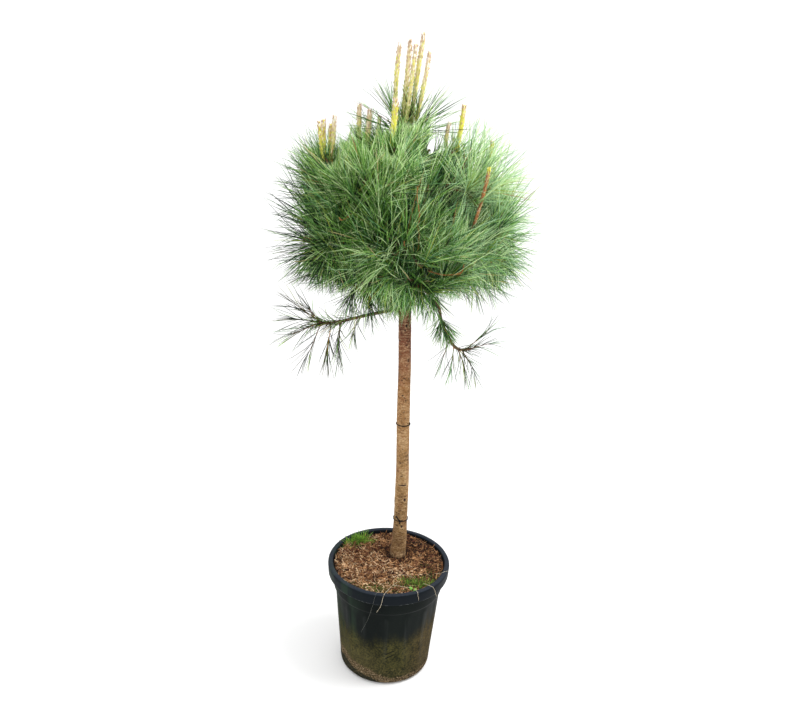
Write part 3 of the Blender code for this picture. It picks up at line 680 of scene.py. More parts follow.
# A painted highlight on the ridges with pale scales, red patches, painted shade in the hollows with dark specks,
# and dark cracks and marks over a bark's base colour
def finishBark(wire, shader, material, base, patches, fine, rings):
    ridge, dark = wire.stored("ridge"), wire.stored("dark")
    scales = wire.noise(190, (0.7, 0.7, 1.25), 3.0, 0.6)
    # lit: paler where the relief rises, a painted highlight, plus pale scales and level rings of the bark itself
    lit = ridge.between(0.50, 0.85) * 0.40 + scales.between(0.50, 0.64) * 0.45
    lit = lit + rings.between(0.52, 0.62) * 0.30
    colour = (lit * 0.66).blend(base, (0.60, 0.42, 0.23))
    red = patches.between(0.54, 0.66) * rings.between(0.42, 0.60)
    colour = (red * 0.45).blend(colour, (0.22, 0.070, 0.030))
    # low: darker where the relief sinks, painted shade in the hollows, plus dark specks of the bark itself
    low = ridge.between(0.48, 0.15) * 0.45 + scales.between(0.48, 0.36) * 0.55 + fine.between(0.46, 0.36) * 0.30
    colour = (low * (rings.between(0.62, 0.40) * 0.5 + 0.5)).blend(colour, (0.060, 0.028, 0.013))
    colour = dark.blend(colour, (0.026, 0.012, 0.008))
    feed(colour, shader, "Base Color")
    feed(0.90 - lit * 0.10, shader, "Roughness")
    feed(bumpFrom(fine * 0.4 + rings * 0.5 + scales * 0.6, 0.85, 0.0022), shader, "Normal")
    return material


# Crown: the frame's masses with their boughs, and the branching rule that fills them

crownRings = {
    "top": dict(count=3, phase=-100, radius=0.082, height=1.675, reach=0.090, rise=0.085, climb=0.85),
    "upper": dict(count=5, phase=-52, radius=0.195, height=1.575, reach=0.140, rise=0.115, climb=0.55),
    "middle": dict(count=5, phase=-88, radius=0.232, height=1.435, reach=0.152, rise=0.105, climb=0.36),
    "lower": dict(count=4, phase=-62, radius=0.188, height=1.315, reach=0.150, rise=0.075, climb=0.20)}
outlineRows = np.array([  # height, left and right edge of the crown's needles
    (1.165, -0.06, 0.03), (1.185, -0.12, 0.05), (1.21, -0.14, 0.09), (1.24, -0.195, 0.15),
    (1.258, -0.25, 0.22), (1.270, -0.300, 0.295), (1.285, -0.340, 0.345), (1.33, -0.378, 0.392),
    (1.37, -0.384, 0.396), (1.41, -0.390, 0.402), (1.45, -0.392, 0.403), (1.50, -0.392, 0.400),
    (1.54, -0.388, 0.395), (1.57, -0.384, 0.390), (1.60, -0.380, 0.384), (1.63, -0.372, 0.374),
    (1.66, -0.360, 0.360), (1.69, -0.342, 0.342), (1.72, -0.315, 0.312), (1.75, -0.278, 0.268),
    (1.78, -0.220, 0.205), (1.81, -0.140, 0.140), (1.84, -0.075, 0.080), (1.870, -0.015, 0.015)])
crown = dict(seed=53, middle=(0.0, 0.020, 1.46), depth=0.93, bottom=1.155, top=1.875, lineSteps=40, named=0.9)
lowSprays = {  # where its limb leaves the trunk, the limb's further points, and the spray's reach
    "left_spray": (1.214, [(-0.107, 0.006, 1.187), (-0.176, -0.004, 1.169), (-0.215, -0.012, 1.163),
                           (-0.240, -0.016, 1.167)], (0.128, 0.085, 0.078)),
    "right_spray": (1.262, [(0.102, 0.008, 1.240), (0.125, 0.004, 1.178), (0.153, -0.002, 1.124),
                            (0.182, -0.010, 1.101), (0.217, -0.015, 1.106)], (0.092, 0.075, 0.090))}
# Layers of shoots: count, scale, least and further step in from the outline, light, pairs, freedom to pass it
shootLayers = [(265, 1.0, 0.125, 0.065, 1.0, 54, 0), (140, 0.60, 0.06, 0.02, 0.45, 46, 0),
               (40, 0.34, 0.0, 0.02, 0.10, 36, 0), (190, 1.0, 0.085, 0.03, 0.60, 8, 0.016)]
shootRise = ([1.18, 1.24, 1.30, 1.38, 1.52, 1.75], [-0.60, 0.0, 0.50, 0.95, 1.30, 1.90])  # height and steepness
topGaps = [(-0.200, -0.158, 1.63), (-0.088, -0.055, 1.66), (0.040, 0.112, 1.62)]  # x from, x to, lowest z


# Masses: each turns round the trunk at its ring's distance and height, with the frame's own small seeded offsets
def planMasses():
    rng = random.Random(7)
    masses = {}
    t = np.linspace(0, 1, crown["lineSteps"])
    for ring, plan in crownRings.items():
        for i in range(plan["count"]):
            turn = math.radians(plan["phase"] + 360 * i / plan["count"] + rng.uniform(-5, 5))
            height = plan["height"] + rng.uniform(-0.012, 0.012)
            away = plan["radius"] + rng.uniform(-0.012, 0.012)
            axis = trunkPoint(height)
            centre = np.array([axis[0] + away * math.cos(turn), axis[1] + away * math.sin(turn), height])
            reach = np.array([plan["reach"], plan["reach"], plan["rise"]]) * rng.uniform(0.97, 1.05)
            start = trunkPoint(height - plan["climb"] * away + 0.012 * (len(masses) % 2))
            line = start + (centre - start) * t[:, None]
            line[:, 2] -= 0.048 * t * t[::-1]
            masses[f"{ring}_{i + 1}"] = dict(centre=centre, reach=reach, line=line)
    masses["leader"] = dict(centre=np.array([-0.008, 0.020, 1.768]), reach=np.array([0.068, 0.064, 0.056]),
                            line=trunkPoint(np.linspace(1.66, 1.735, crown["lineSteps"])))
    for name, (leaves, further, reach) in lowSprays.items():
        line = smoothLine([trunkPoint(leaves), *further], crown["lineSteps"])
        masses[name] = dict(centre=np.array(further[-1]), reach=np.array(reach), line=line)
    return masses


# Middle and half width of the outline at a height
def outlineAt(z):
    left, right = [np.interp(z, outlineRows[:, 0], outlineRows[:, k]) for k in (1, 2)]
    return (left + right) / 2, (right - left) / 2


# Points on the outline, evenly by area: heights at equal steps of the summed ring length times slant, each a
# golden turn further round; the way out is the slope's own normal
def outlinePoints(count, rng):
    z = np.linspace(outlineRows[0, 0], outlineRows[-1, 0], 600)
    middle, half = outlineAt(z)
    area = np.append(0, np.cumsum(half[1:] * np.hypot(np.diff(z), np.diff(half))))
    share = (np.arange(count) + 0.5) / count
    height = np.interp(share, area / area[-1], z)
    turn = np.arange(count) * goldenTurn + rng.normal(0, 0.10, count)
    middle, half = outlineAt(height)
    slope = (outlineAt(height + 0.02)[1] - outlineAt(height - 0.02)[1]) / 0.04
    across, deep = half * np.cos(turn), crown["depth"] * half * np.sin(turn)
    points = np.stack([middle + across, crown["middle"][1] + deep, height], -1)
    out = unit(np.stack([np.cos(turn), np.sin(turn), -np.clip(slope, -4, 4)], -1))
    return points, out


# The shoots that the photograph shows one by one
shootFields = ("mass", "tip", "way", "length", "count", "spread", "bow", "tone")
namedShoots = [
    ("leader", (-0.004, 0.030, 1.745), (0.0, 0.1, 1.0), 0.070, 16, 0.9, 0.5, 0.40),
    ("leader", (-0.030, 0.022, 1.735), (-0.20, 0.05, 1.0), 0.165, 12, 0.45, 0.6, 0.36),
    ("leader", (-0.044, 0.022, 1.715), (-0.75, 0.05, 1.0), 0.165, 8, 0.45, 0.6, 0.36),
    ("leader", (0.034, 0.022, 1.735), (0.42, 0.05, 1.0), 0.165, 12, 0.45, 0.6, 0.44),
    ("leader", (0.042, 0.030, 1.715), (0.95, 0.2, 1.0), 0.160, 8, 0.45, 0.9, 0.46),
    ("leader", (0.000, 0.050, 1.735), (0.10, 0.6, 1.0), 0.140, 12, 0.60, 0.9, 0.48),
    ("top_1", (-0.043, -0.092, 1.640), (0.0, -0.12, 1.0), 0.105, 40, 0.8, 0.6, 0.58),
    ("upper_4", (-0.227, 0.015, 1.600), (-0.12, 0.0, 1.0), 0.120, 34, 0.9, 0.6, 0.46),
    ("top_3", (-0.126, 0.030, 1.660), (-0.05, 0.0, 1.0), 0.110, 34, 0.8, 0.6, 0.50),
    ("top_2", (0.132, 0.050, 1.640), (0.05, 0.0, 1.0), 0.120, 38, 0.8, 0.6, 0.68),
    ("upper_2", (0.222, 0.050, 1.620), (0.15, 0.0, 1.0), 0.120, 30, 0.9, 0.6, 0.74),
    ("lower_1", (0.181, -0.180, 1.494), (0.20, -0.01, 1.0), 0.090, 10, 1.0, 1.0, 0.60),
    ("left_spray", (-0.315, -0.020, 1.222), (-0.80, -0.05, 0.60), 0.104, 8, 0.92, 1.0, 0.24),
    ("left_spray", (-0.268, -0.050, 1.215), (-0.60, -0.35, 0.75), 0.085, 6, 0.92, 1.0, 0.26),
    ("left_spray", (-0.305, -0.035, 1.178), (-1.00, -0.10, 0.10), 0.107, 9, 0.86, 1.0, 0.28),
    ("left_spray", (-0.318, -0.030, 1.130), (-0.93, -0.10, -0.35), 0.110, 8, 0.80, 1.0, 0.30),
    ("left_spray", (-0.270, -0.030, 1.070), (-0.50, -0.15, -0.86), 0.120, 8, 0.69, 0.8, 0.32),
    ("left_spray", (-0.212, -0.028, 1.062), (0.06, -0.12, -1.00), 0.104, 14, 0.63, 0.6, 0.32),
    ("left_spray", (-0.180, -0.014, 1.062), (0.12, 0.05, -1.00), 0.104, 8, 0.57, 0.6, 0.30),
    ("left_spray", (-0.138, -0.010, 1.130), (0.02, -0.05, -1.00), 0.076, 8, 0.92, 0.8, 0.32),
    ("left_spray", (-0.285, 0.060, 1.130), (-0.55, 0.60, -0.35), 0.110, 8, 0.92, 1.0, 0.24),
    ("left_spray", (-0.190, 0.055, 1.090), (0.05, 0.45, -0.90), 0.104, 8, 0.80, 1.0, 0.26),
    ("right_spray", (0.264, -0.016, 1.168), (0.55, 0.0, 0.85), 0.085, 5, 0.57, 0.8, 0.32),
    ("right_spray", (0.268, -0.020, 1.126), (0.90, -0.1, 0.35), 0.076, 5, 0.63, 0.8, 0.34),
    ("right_spray", (0.231, -0.018, 1.030), (0.14, -0.12, -1.00), 0.088, 7, 0.52, 0.6, 0.38),
    ("right_spray", (0.203, -0.018, 1.036), (0.04, -0.08, -1.00), 0.095, 5, 0.46, 0.6, 0.38),
    ("right_spray", (0.160, -0.010, 1.040), (-0.08, -0.10, -1.00), 0.093, 7, 0.48, 0.6, 0.40),
    ("right_spray", (0.134, -0.010, 1.070), (-0.28, -0.10, -1.00), 0.098, 5, 0.57, 0.8, 0.38),
    ("right_spray", (0.205, 0.050, 1.060), (0.30, 0.50, -0.75), 0.098, 7, 0.69, 1.0, 0.34),
    ("right_spray", (0.122, -0.010, 1.176), (-0.35, -0.2, -0.85), 0.080, 15, 0.80, 1.0, 0.58),
    ("right_spray", (0.134, -0.012, 1.174), (0.70, -0.2, -0.50), 0.090, 9, 0.70, 1.0, 0.56),
    ("lower_1", (0.188, -0.080, 1.300), (0.05, -0.10, -1.00), 0.085, 5, 0.50, 0.8, 0.30),
    ("lower_2", (0.214, -0.070, 1.285), (0.32, -0.10, -1.00), 0.105, 5, 0.45, 0.8, 0.32),
    ("lower_2", (0.250, -0.060, 1.290), (0.30, 0.00, -0.90), 0.085, 5, 0.50, 0.8, 0.32),
    ("lower_2", (0.290, -0.040, 1.290), (0.60, 0.00, -0.80), 0.080, 5, 0.50, 0.8, 0.34),
    ("lower_3", (-0.225, -0.060, 1.300), (-0.80, -0.10, -0.35), 0.090, 9, 0.90, 1.0, 0.20),
    ("lower_3", (-0.285, -0.040, 1.305), (-0.90, -0.10, -0.30), 0.085, 8, 0.90, 1.0, 0.22),
    ("lower_4", (-0.010, -0.240, 1.418), (0.30, -0.50, 0.60), 0.105, 14, 1.00, 3.0, 0.76),
    ("lower_4", (-0.030, -0.235, 1.412), (-0.85, -0.34, 0.32), 0.150, 22, 0.65, 3.4, 0.84),
    ("lower_4", (-0.034, -0.245, 1.388), (-0.72, -0.34, -0.05), 0.140, 26, 0.60, 2.8, 0.82),
    ("lower_4", (-0.022, -0.245, 1.352), (-0.52, -0.30, -0.60), 0.130, 26, 0.60, 1.8, 0.76),
    ("lower_1", (0.010, -0.238, 1.335), (-0.12, -0.30, -0.90), 0.125, 26, 0.60, 1.2, 0.66),
    ("lower_1", (0.045, -0.215, 1.320), (0.30, -0.30, -0.80), 0.120, 20, 0.65, 1.2, 0.54),
    ("lower_4", (-0.085, -0.120, 1.262), (-0.20, -0.20, -0.90), 0.125, 24, 0.80, 1.2, 0.24),
    ("lower_4", (-0.140, -0.060, 1.270), (-0.20, -0.10, -0.90), 0.110, 22, 0.80, 1.2, 0.18),
    ("lower_1", (0.085, -0.080, 1.272), (0.30, -0.25, -0.75), 0.110, 24, 0.80, 1.2, 0.46)]


# Shoots: tips sit inside the outline, in fewer numbers on two smaller copies of it, and at the named places. A
# way leans out, rises with height, and turns with its neighbours; tops and sides keep some gaps of sky
def planShoots(masses):
    rng = np.random.default_rng(crown["seed"])
    tips, ways, depths, counts, frees = [], [], [], [], []
    for count, scale, back, further, light, pairs, loose in shootLayers:
        points, out = outlinePoints(count, rng)
        points = np.array(crown["middle"]) + (points - np.array(crown["middle"])) * scale
        rise = np.interp(points[:, 2], *shootRise)
        turn = np.stack([cellNoise(points, 0.17, seed) for seed in (5, 6, 7)], -1)
        lean = 0.85 - 0.60 * np.clip(-out[:, 1], 0, 1) * smoothStep(1.24, 1.34, points[:, 2])
        rise *= 0.45 if loose else 1
        way = unit(lean[:, None] * out + rise[:, None] * up + 0.30 * turn + rng.normal(0, 0.17, (count, 3)))
        inward = back + further * np.abs(rng.normal(0, 1, (count, 1)))
        tip = points - unit(out * [1, 1, 0.8] + 0.6 * way) * inward
        keep = np.ones(count, bool)
        for left, right, low in topGaps:
            keep &= ~((tip[:, 0] > left) & (tip[:, 0] < right) & (tip[:, 2] > low))
        airy = 0.62 * smoothStep(0.02, 0.14, tip[:, 0]) * smoothStep(1.46, 1.60, tip[:, 2])
        airy += 0.68 * smoothStep(-0.10, -0.22, tip[:, 0]) * smoothStep(1.46, 1.36, tip[:, 2])
        airy += 0.20 * smoothStep(0.14, 0.26, np.abs(tip[:, 0])) + 0.45 * smoothStep(1.56, 1.68, tip[:, 2])
        airy = (0 if loose else 1) * np.clip(airy, 0, 0.92)
        keep &= rng.random(count) > airy
        tips.append(tip[keep])
        ways.append(way[keep])
        depths.append(np.full(keep.sum(), light))
        counts.append(np.round(pairs * (1 - 0.40 * airy[keep])))
        frees.append(np.full(keep.sum(), loose))
    tips, ways, depths = np.concatenate(tips), np.concatenate(ways), np.concatenate(depths)
    names = [name for name in masses if "spray" not in name]
    centres = np.array([masses[name]["centre"] for name in names])
    reaches = np.array([masses[name]["reach"] for name in names])
    nearest = (np.linalg.norm((tips[:, None] - centres) / reaches, axis=-1)).argmin(1)
    free, whole = np.concatenate(frees), np.ones(len(tips))
    length = needle["length"] * np.where(free > 0, 1.25, 1) * rng.uniform(0.90, 1.10, len(tips))
    shoots = dict(tip=tips, way=ways, depth=depths, mass=np.array(names)[nearest], length=length,
                  count=np.concatenate(counts), spread=whole, bow=whole, tone=whole * np.nan, free=free)
    own = {key: [] for key in shoots}
    for shoot in namedShoots:
        for key, value in [*zip(shootFields, shoot), ("depth", crown["named"]), ("free", 1.0)]:
            own[key].append(value)
    own["way"] = unit(np.array(own["way"], float))
    return {key: np.concatenate([value, np.array(own[key])]) for key, value in shoots.items()}


boughNeedles = [  # mass, stretch of its line, needle length, pairs, spread, tone
    ("left_spray", (7, 24), 0.056, 26, 1.5, 0.34), ("left_spray", (18, 39), 0.068, 34, 1.4, 0.30),
    ("right_spray", (13, 20), 0.085, 34, 1.05, 0.62), ("right_spray", (26, 39), 0.070, 9, 1.2, 0.40)]


# The low boughs bear needles of their own, so each line counts as one more shoot
def addBoughNeedles(masses, shoots, shootLines):
    for mass, steps, length, count, spread, tone in boughNeedles:
        line = masses[mass]["line"][steps[0]:steps[1]]
        place = np.linspace(0, len(line) - 1.001, shootLines.shape[1])
        low = place.astype(int)
        run = line[low] + (place - low)[:, None] * (line[low + 1] - line[low])
        shootLines = np.concatenate([shootLines, run[None]])
        more = dict(tip=run[-1], way=unit(run[-1] - run[-2]), depth=crown["named"], mass=mass, length=length,
                    count=count, spread=spread, bow=1.6, tone=tone, free=1.0)
        shoots = {key: np.concatenate([value, np.array([more[key]])]) for key, value in shoots.items()}
    return shoots, shootLines


# Side shoots gather on side twigs: the mass's tips are parted into groups round far-apart first members, each
# group has a fork between the bough's end and its own middle, and every shoot eases from its fork to its tip
def planTwigs(masses, shoots):
    rng = np.random.default_rng(crown["seed"] + 1)
    forks = np.zeros_like(shoots["tip"])
    leave = np.zeros_like(shoots["tip"])
    sides = []
    for name, plan in masses.items():
        mine = np.flatnonzero(shoots["mass"] == name)
        if not len(mine):
            continue
        tips = shoots["tip"][mine]
        low = "spray" in name  # there each shoot leaves the bough by itself
        groups = len(mine) if low else max(1, min(7, round(len(mine) / 4)))
        heads = [int(np.linalg.norm(tips - plan["centre"], axis=1).argmax())]
        while len(heads) < groups:
            gap = np.linalg.norm(tips[:, None] - tips[heads], axis=-1).min(1)
            heads.append(int(gap.argmax()))
        middles = tips[heads]
        for _ in range(5):
            group = np.linalg.norm(tips[:, None] - middles, axis=-1).argmin(1)
            middles = np.array([tips[group == g].mean(0) if (group == g).any() else middles[g]
                                for g in range(groups)])
        line = plan["line"]
        place = (len(line) * rng.uniform(0.72, 0.995, groups)).astype(int)
        roots = line[np.clip(place, 0, len(line) - 1)]
        if low:
            near = np.linalg.norm(middles[:, None] - line, axis=-1).argmin(1)
            roots = line[np.clip(near - 4, 0, len(line) - 1)]
        share = 0.12 if low else rng.uniform(0.42, 0.55, (groups, 1))
        fork = roots + (middles - roots) * share - up * (0 if low else 0.006)
        along = unit(line[-1] - line[-6])
        sides.append((roots, unit(0.55 * along + unit(fork - roots)), fork, unit(middles - roots + up * 0.01)))
        forks[mine] = fork[group]
        leave[mine] = unit(0.6 * sides[-1][3][group] + unit(tips - fork[group]))
    roots, first, ends, last = [np.concatenate(part) for part in zip(*sides)]
    return easedLines(roots, first, ends, last, 12), easedLines(forks, leave, shoots["tip"], shoots["way"], 14)


bough = dict(steps=64, sides=22, spray=0.0052, tip=0.0042, share=0.45, swell=0.45)


# Boughs: round tubes from the trunk's middle to the masses, swollen where they leave it, with bark relief
def makeBoughs(masses):
    paths = np.stack([plan["line"] for name, plan in masses.items() if name != "leader"])
    fine = np.linspace(0, crown["lineSteps"] - 1, bough["steps"])
    low = np.floor(fine).astype(int).clip(0, crown["lineSteps"] - 2)
    paths = paths[:, low] + (fine - low)[None, :, None] * (paths[:, low + 1] - paths[:, low])
    sprays = np.array(["spray" in name for name in masses if name != "leader"])
    thick = np.where(sprays, bough["spray"], bough["share"] * trunkRadius(paths[:, 0, 2]))[:, None]
    radii = thick + (np.minimum(bough["tip"], 0.8 * thick) - thick) * np.linspace(0, 1, bough["steps"])
    away = np.linalg.norm(paths - paths[:, :1], axis=-1)
    radii = radii * (1 + bough["swell"] * np.exp(-((away - 0.018) / 0.012) ** 2))
    radii += 0.0005 * cellNoise(paths, 0.020, 61)
    points, quads, tris = sweepTubes(paths, radii, bough["sides"])
    middles = np.concatenate([np.repeat(paths, bough["sides"], axis=1), paths[:, :1], paths[:, -1:]], 1)
    out = points - middles.reshape(-1, 3)
    plates = layeredNoise(points, 0.0070, 62)
    cracks = smoothStep(0.25, 0.03, np.abs(plates))
    relief = 0.00040 * plates - 0.00045 * cracks + 0.00012 * cellNoise(points, 0.0022, 63)
    points = points + unit(out) * (relief * (np.linalg.norm(out, axis=-1) > 1e-6))[:, None]
    material, wire, shader = newMaterial("bough_bark", {"Specular IOR Level": 0.3})
    patches, grain = wire.noise(45, detail=4.0), wire.noise(420, rough=0.65)
    base = patches.between(0.38, 0.64).blend((0.075, 0.046, 0.026), (0.170, 0.088, 0.044))
    finishBark(wire, shader, material, base, patches, grain, wire.noise(120))
    nodes = [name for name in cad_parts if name.startswith("bough_")]
    makePiece("bough_bark", points, [quads, tris], [material], stands=nodes,
              numbers={"dark": 0.5 * cracks, "ridge": np.clip(0.5 + relief / 0.0012, 0, 1)})


bareTwigs = [  # points along it, thickness at its foot and at its tip, and colour
    ([(0.088, -0.150, 1.316), (0.128, -0.186, 1.340), (0.150, -0.210, 1.359), (0.157, -0.215, 1.373),
      (0.159, -0.216, 1.388)], 0.0054, 0.0020, "orange"),
    ([(0.155, -0.213, 1.366), (0.146, -0.215, 1.3625), (0.135, -0.216, 1.3600), (0.104, -0.216, 1.358),
      (0.067, -0.212, 1.366)], 0.0048, 0.0018, "orange"),
    ([(0.024, -0.170, 1.455), (0.037, -0.235, 1.495), (0.034, -0.262, 1.527), (0.029, -0.268, 1.552),
      (0.0272, -0.270, 1.582)], 0.0034, 0.0014, "orange")]
twigColours = {"greybrown": (0.090, 0.060, 0.036), "brown": (0.150, 0.078, 0.038),
               "orange": (0.360, 0.155, 0.055), "green": (0.120, 0.150, 0.040)}
twig = dict(sideTip=0.0024, sideTaper=0.0012, shootTip=0.0016, shootTaper=0.0012, slim=0.55, bareSteps=20)
# Shares of the first three colours on side twigs, and of the named ones on shoots (where each ends)
twigShares = {"side": [0.45, 0.45, 0.10], "shoot": dict(green=0.30, brown=0.68, orange=0.74, greybrown=1)}


def inSprays(shoots):
    return np.char.find(shoots["mass"].astype(str), "spray") > 0


# Side twigs, then the shoots that they bear, then the bare ones, all tapering to their tips
def makeTwigs(sideLines, shootLines, shoots):
    rng = np.random.default_rng(71)
    t = np.linspace(1, 0, sideLines.shape[1])[None]
    radii = (twig["sideTip"] + twig["sideTaper"] * t) * (1 + 0.06 * cellNoise(sideLines, 0.006, 72))
    tone = rng.choice(3, len(sideLines), p=twigShares["side"])
    sets = [(*sweepTubes(sideLines, radii, 8), tone)]
    t = np.linspace(1, 0, shootLines.shape[1])[None]
    slim = np.where(inSprays(shoots), twig["slim"], 1.0)[:, None]
    radii = (twig["shootTip"] + twig["shootTaper"] * t) * slim * (1 + 0.10 * cellNoise(shootLines, 0.004, 73))
    tone = dealTones(rng.random(len(shootLines)), twigColours, twigShares["shoot"])
    sets.append((*sweepTubes(shootLines, radii, 6), tone))
    steps = twig["bareSteps"]
    lines = np.array([smoothLine(line, steps) for line, foot, end, colour in bareTwigs])
    radii = np.array([np.linspace(foot, end, steps) / 2 for line, foot, end, colour in bareTwigs])
    radii = radii * (1 + 0.18 * cellNoise(lines, 0.004, 75))
    tone = np.array([list(twigColours).index(colour) for line, foot, end, colour in bareTwigs])
    sets.append((*sweepTubes(lines, radii, 10), tone))
    points, faces, tones = joinShapes(sets)
    makePiece("twigs", points, faces, plainColours("twig", twigColours, 0.75), tones)


needle = dict(length=0.165, width=0.0018, zone=0.120, close=7, open=29, shorten=0.90, litShare=0.22, lit=0.34,
              dim=-0.13, waver=0.17, changes=(-1.6, 0.0, 0.8), eyeAway=1.996, eyeHeight=1.655)
needle["pass"] = np.array([0.030, 0.028, 0])  # how far needles may pass the frame's box
needleColours = {  # dark to pale, then the blue side's, then bronze, yellow green, straw and rust
    "deepest": (0.006, 0.020, 0.005), "deep": (0.020, 0.058, 0.010), "forest": (0.050, 0.140, 0.020),
    "leaf": (0.100, 0.250, 0.038), "grass": (0.195, 0.400, 0.078), "light": (0.350, 0.580, 0.175),
    "pale": (0.590, 0.770, 0.380), "bluedeep": (0.032, 0.105, 0.040), "bluemid": (0.120, 0.290, 0.108),
    "bluepale": (0.370, 0.590, 0.310), "bronze": (0.060, 0.062, 0.022), "bronzepale": (0.170, 0.165, 0.070),
    "yellow": (0.340, 0.420, 0.060), "straw": (0.560, 0.450, 0.220), "rust": (0.330, 0.130, 0.045)}


# Which colours a blue and a bronze needle take instead of the first seven
blueInstead = np.array([0, 7, 7, 8, 8, 9, 9])
bronzeInstead = np.array([0, 10, 10, 10, 11, 11, 5])
# Where nothing nearer may hide a candle or a bare twig: x and z of its two ends, half width and depth
clearings = [
    ((-0.230, 1.660), (-0.230, 1.90), 0.034, 0.02), ((-0.141, 1.700), (-0.141, 1.90), 0.013, 0.03),
    ((-0.110, 1.700), (-0.110, 1.90), 0.015, 0.03), ((0.146, 1.685), (0.150, 1.90), 0.018, 0.05),
    ((-0.040, 1.675), (-0.040, 1.90), 0.016, -0.08), ((0.004, 1.790), (0.006, 2.00), 0.044, 0.0),
    ((0.182, 1.502), (0.210, 1.655), 0.016, -0.175), ((0.067, 1.366), (0.157, 1.370), 0.018, -0.21)]
# Gaps of sky through the crown, as they lie on a plane behind it: x and z of two ends, half width and depth
skyGaps = [
    ((-0.080, 1.762), (-0.082, 1.790), 0.020, 0.40), ((0.079, 1.675), (0.088, 1.700), 0.015, 0.40),
    ((0.114, 1.756), (0.120, 1.805), 0.022, 0.40), ((-0.214, 1.716), (-0.214, 1.769), 0.016, 0.40)]


# Where each needle grows: pairs up the shoot's last stretch, each a golden turn further round, leaving the shoot
# at an angle that opens from the tip down, and sagging
def placeNeedles(rng, shoots, shootLines, owner, pair, down):
    total = np.linalg.norm(np.diff(shootLines, axis=1), axis=-1).sum(1)
    zone = np.where(inSprays(shoots), 0.85 * total, np.minimum(needle["zone"], 0.92 * total))[owner]
    root, ahead = alongLines(shootLines, owner, (1 - down * zone / total[owner]) * (shootLines.shape[1] - 1))
    axis = unit(ahead + 1.4 * shoots["way"][owner])
    side = unit(np.cross(axis, up + np.array([0.05, 0.02, 0])))
    turn = pair * goldenTurn + rng.normal(0, 0.25, len(owner)) + owner * 1.7
    opening = np.radians(needle["close"] + needle["open"] * down ** 0.75) * shoots["spread"][owner]
    opening = opening + rng.normal(0, 0.12, len(owner))
    out = swing(turn, side, np.cross(axis, side))
    way = swing(opening, axis, out)
    way = unit(way + rng.normal(0, 0.04, way.shape))
    sag = squareTo(-0.55 * up + rng.normal(0, 0.48, way.shape) + 0.35 * out, way)
    bow = (0.08 + np.abs(rng.normal(0, 0.13, len(owner)))) * shoots["bow"][owner]
    length = shoots["length"][owner] * (0.70 + 0.30 * smoothStep(0, 0.35, down))
    return root, way, sag, bow, length * rng.uniform(0.80, 1.12, len(owner))


# A needle that would pass the outline, or hide a candle, a bare twig or a gap of sky, is shortened step by step
def shortenNeedles(rng, free, root, way, sag, bow, length):
    limit = 1.00 - 0.24 * rng.random(len(root)) ** 0.7 + 10 * free
    eye, eyeSpot = needle["eyeAway"], np.array([0, needle["eyeHeight"]])
    floor, roof = np.array(cadBox[0]) - needle["pass"], np.array(cadBox[1]) + needle["pass"]
    for _ in range(9):
        end = root + length[:, None] * (way + bow[:, None] * sag)
        middle, half = outlineAt(end[:, 2])
        far = np.hypot((end[:, 0] - middle) / half, (end[:, 1] - crown["middle"][1]) / (half * crown["depth"]))
        beyond = (far > limit) | (end[:, 2] > crown["top"]) | ((end[:, 2] < crown["bottom"]) & (free < 0.5))
        beyond |= ((end < floor) | (end > roof)).any(1)
        for t in (1.0, 0.86, 0.72, 0.58, 0.42):
            part = root + t * length[:, None] * (way + t * bow[:, None] * sag)
            for first, last, wide, deep in clearings + skyGaps:
                first, run = np.array(first), np.array(last) - first
                nearer = ((deep + eye) / (part[:, 1] + eye))[:, None]
                seen = eyeSpot + (part[:, [0, 2]] - eyeSpot) * nearer - first
                along = np.clip(seen @ run / (run @ run), 0, 1)[:, None]
                hides = np.linalg.norm(seen - along * run, axis=1) < wide
                beyond |= hides & (part[:, 1] < deep) & (free < 0.5)
        length = np.where(beyond, length * needle["shorten"], length)
    return length


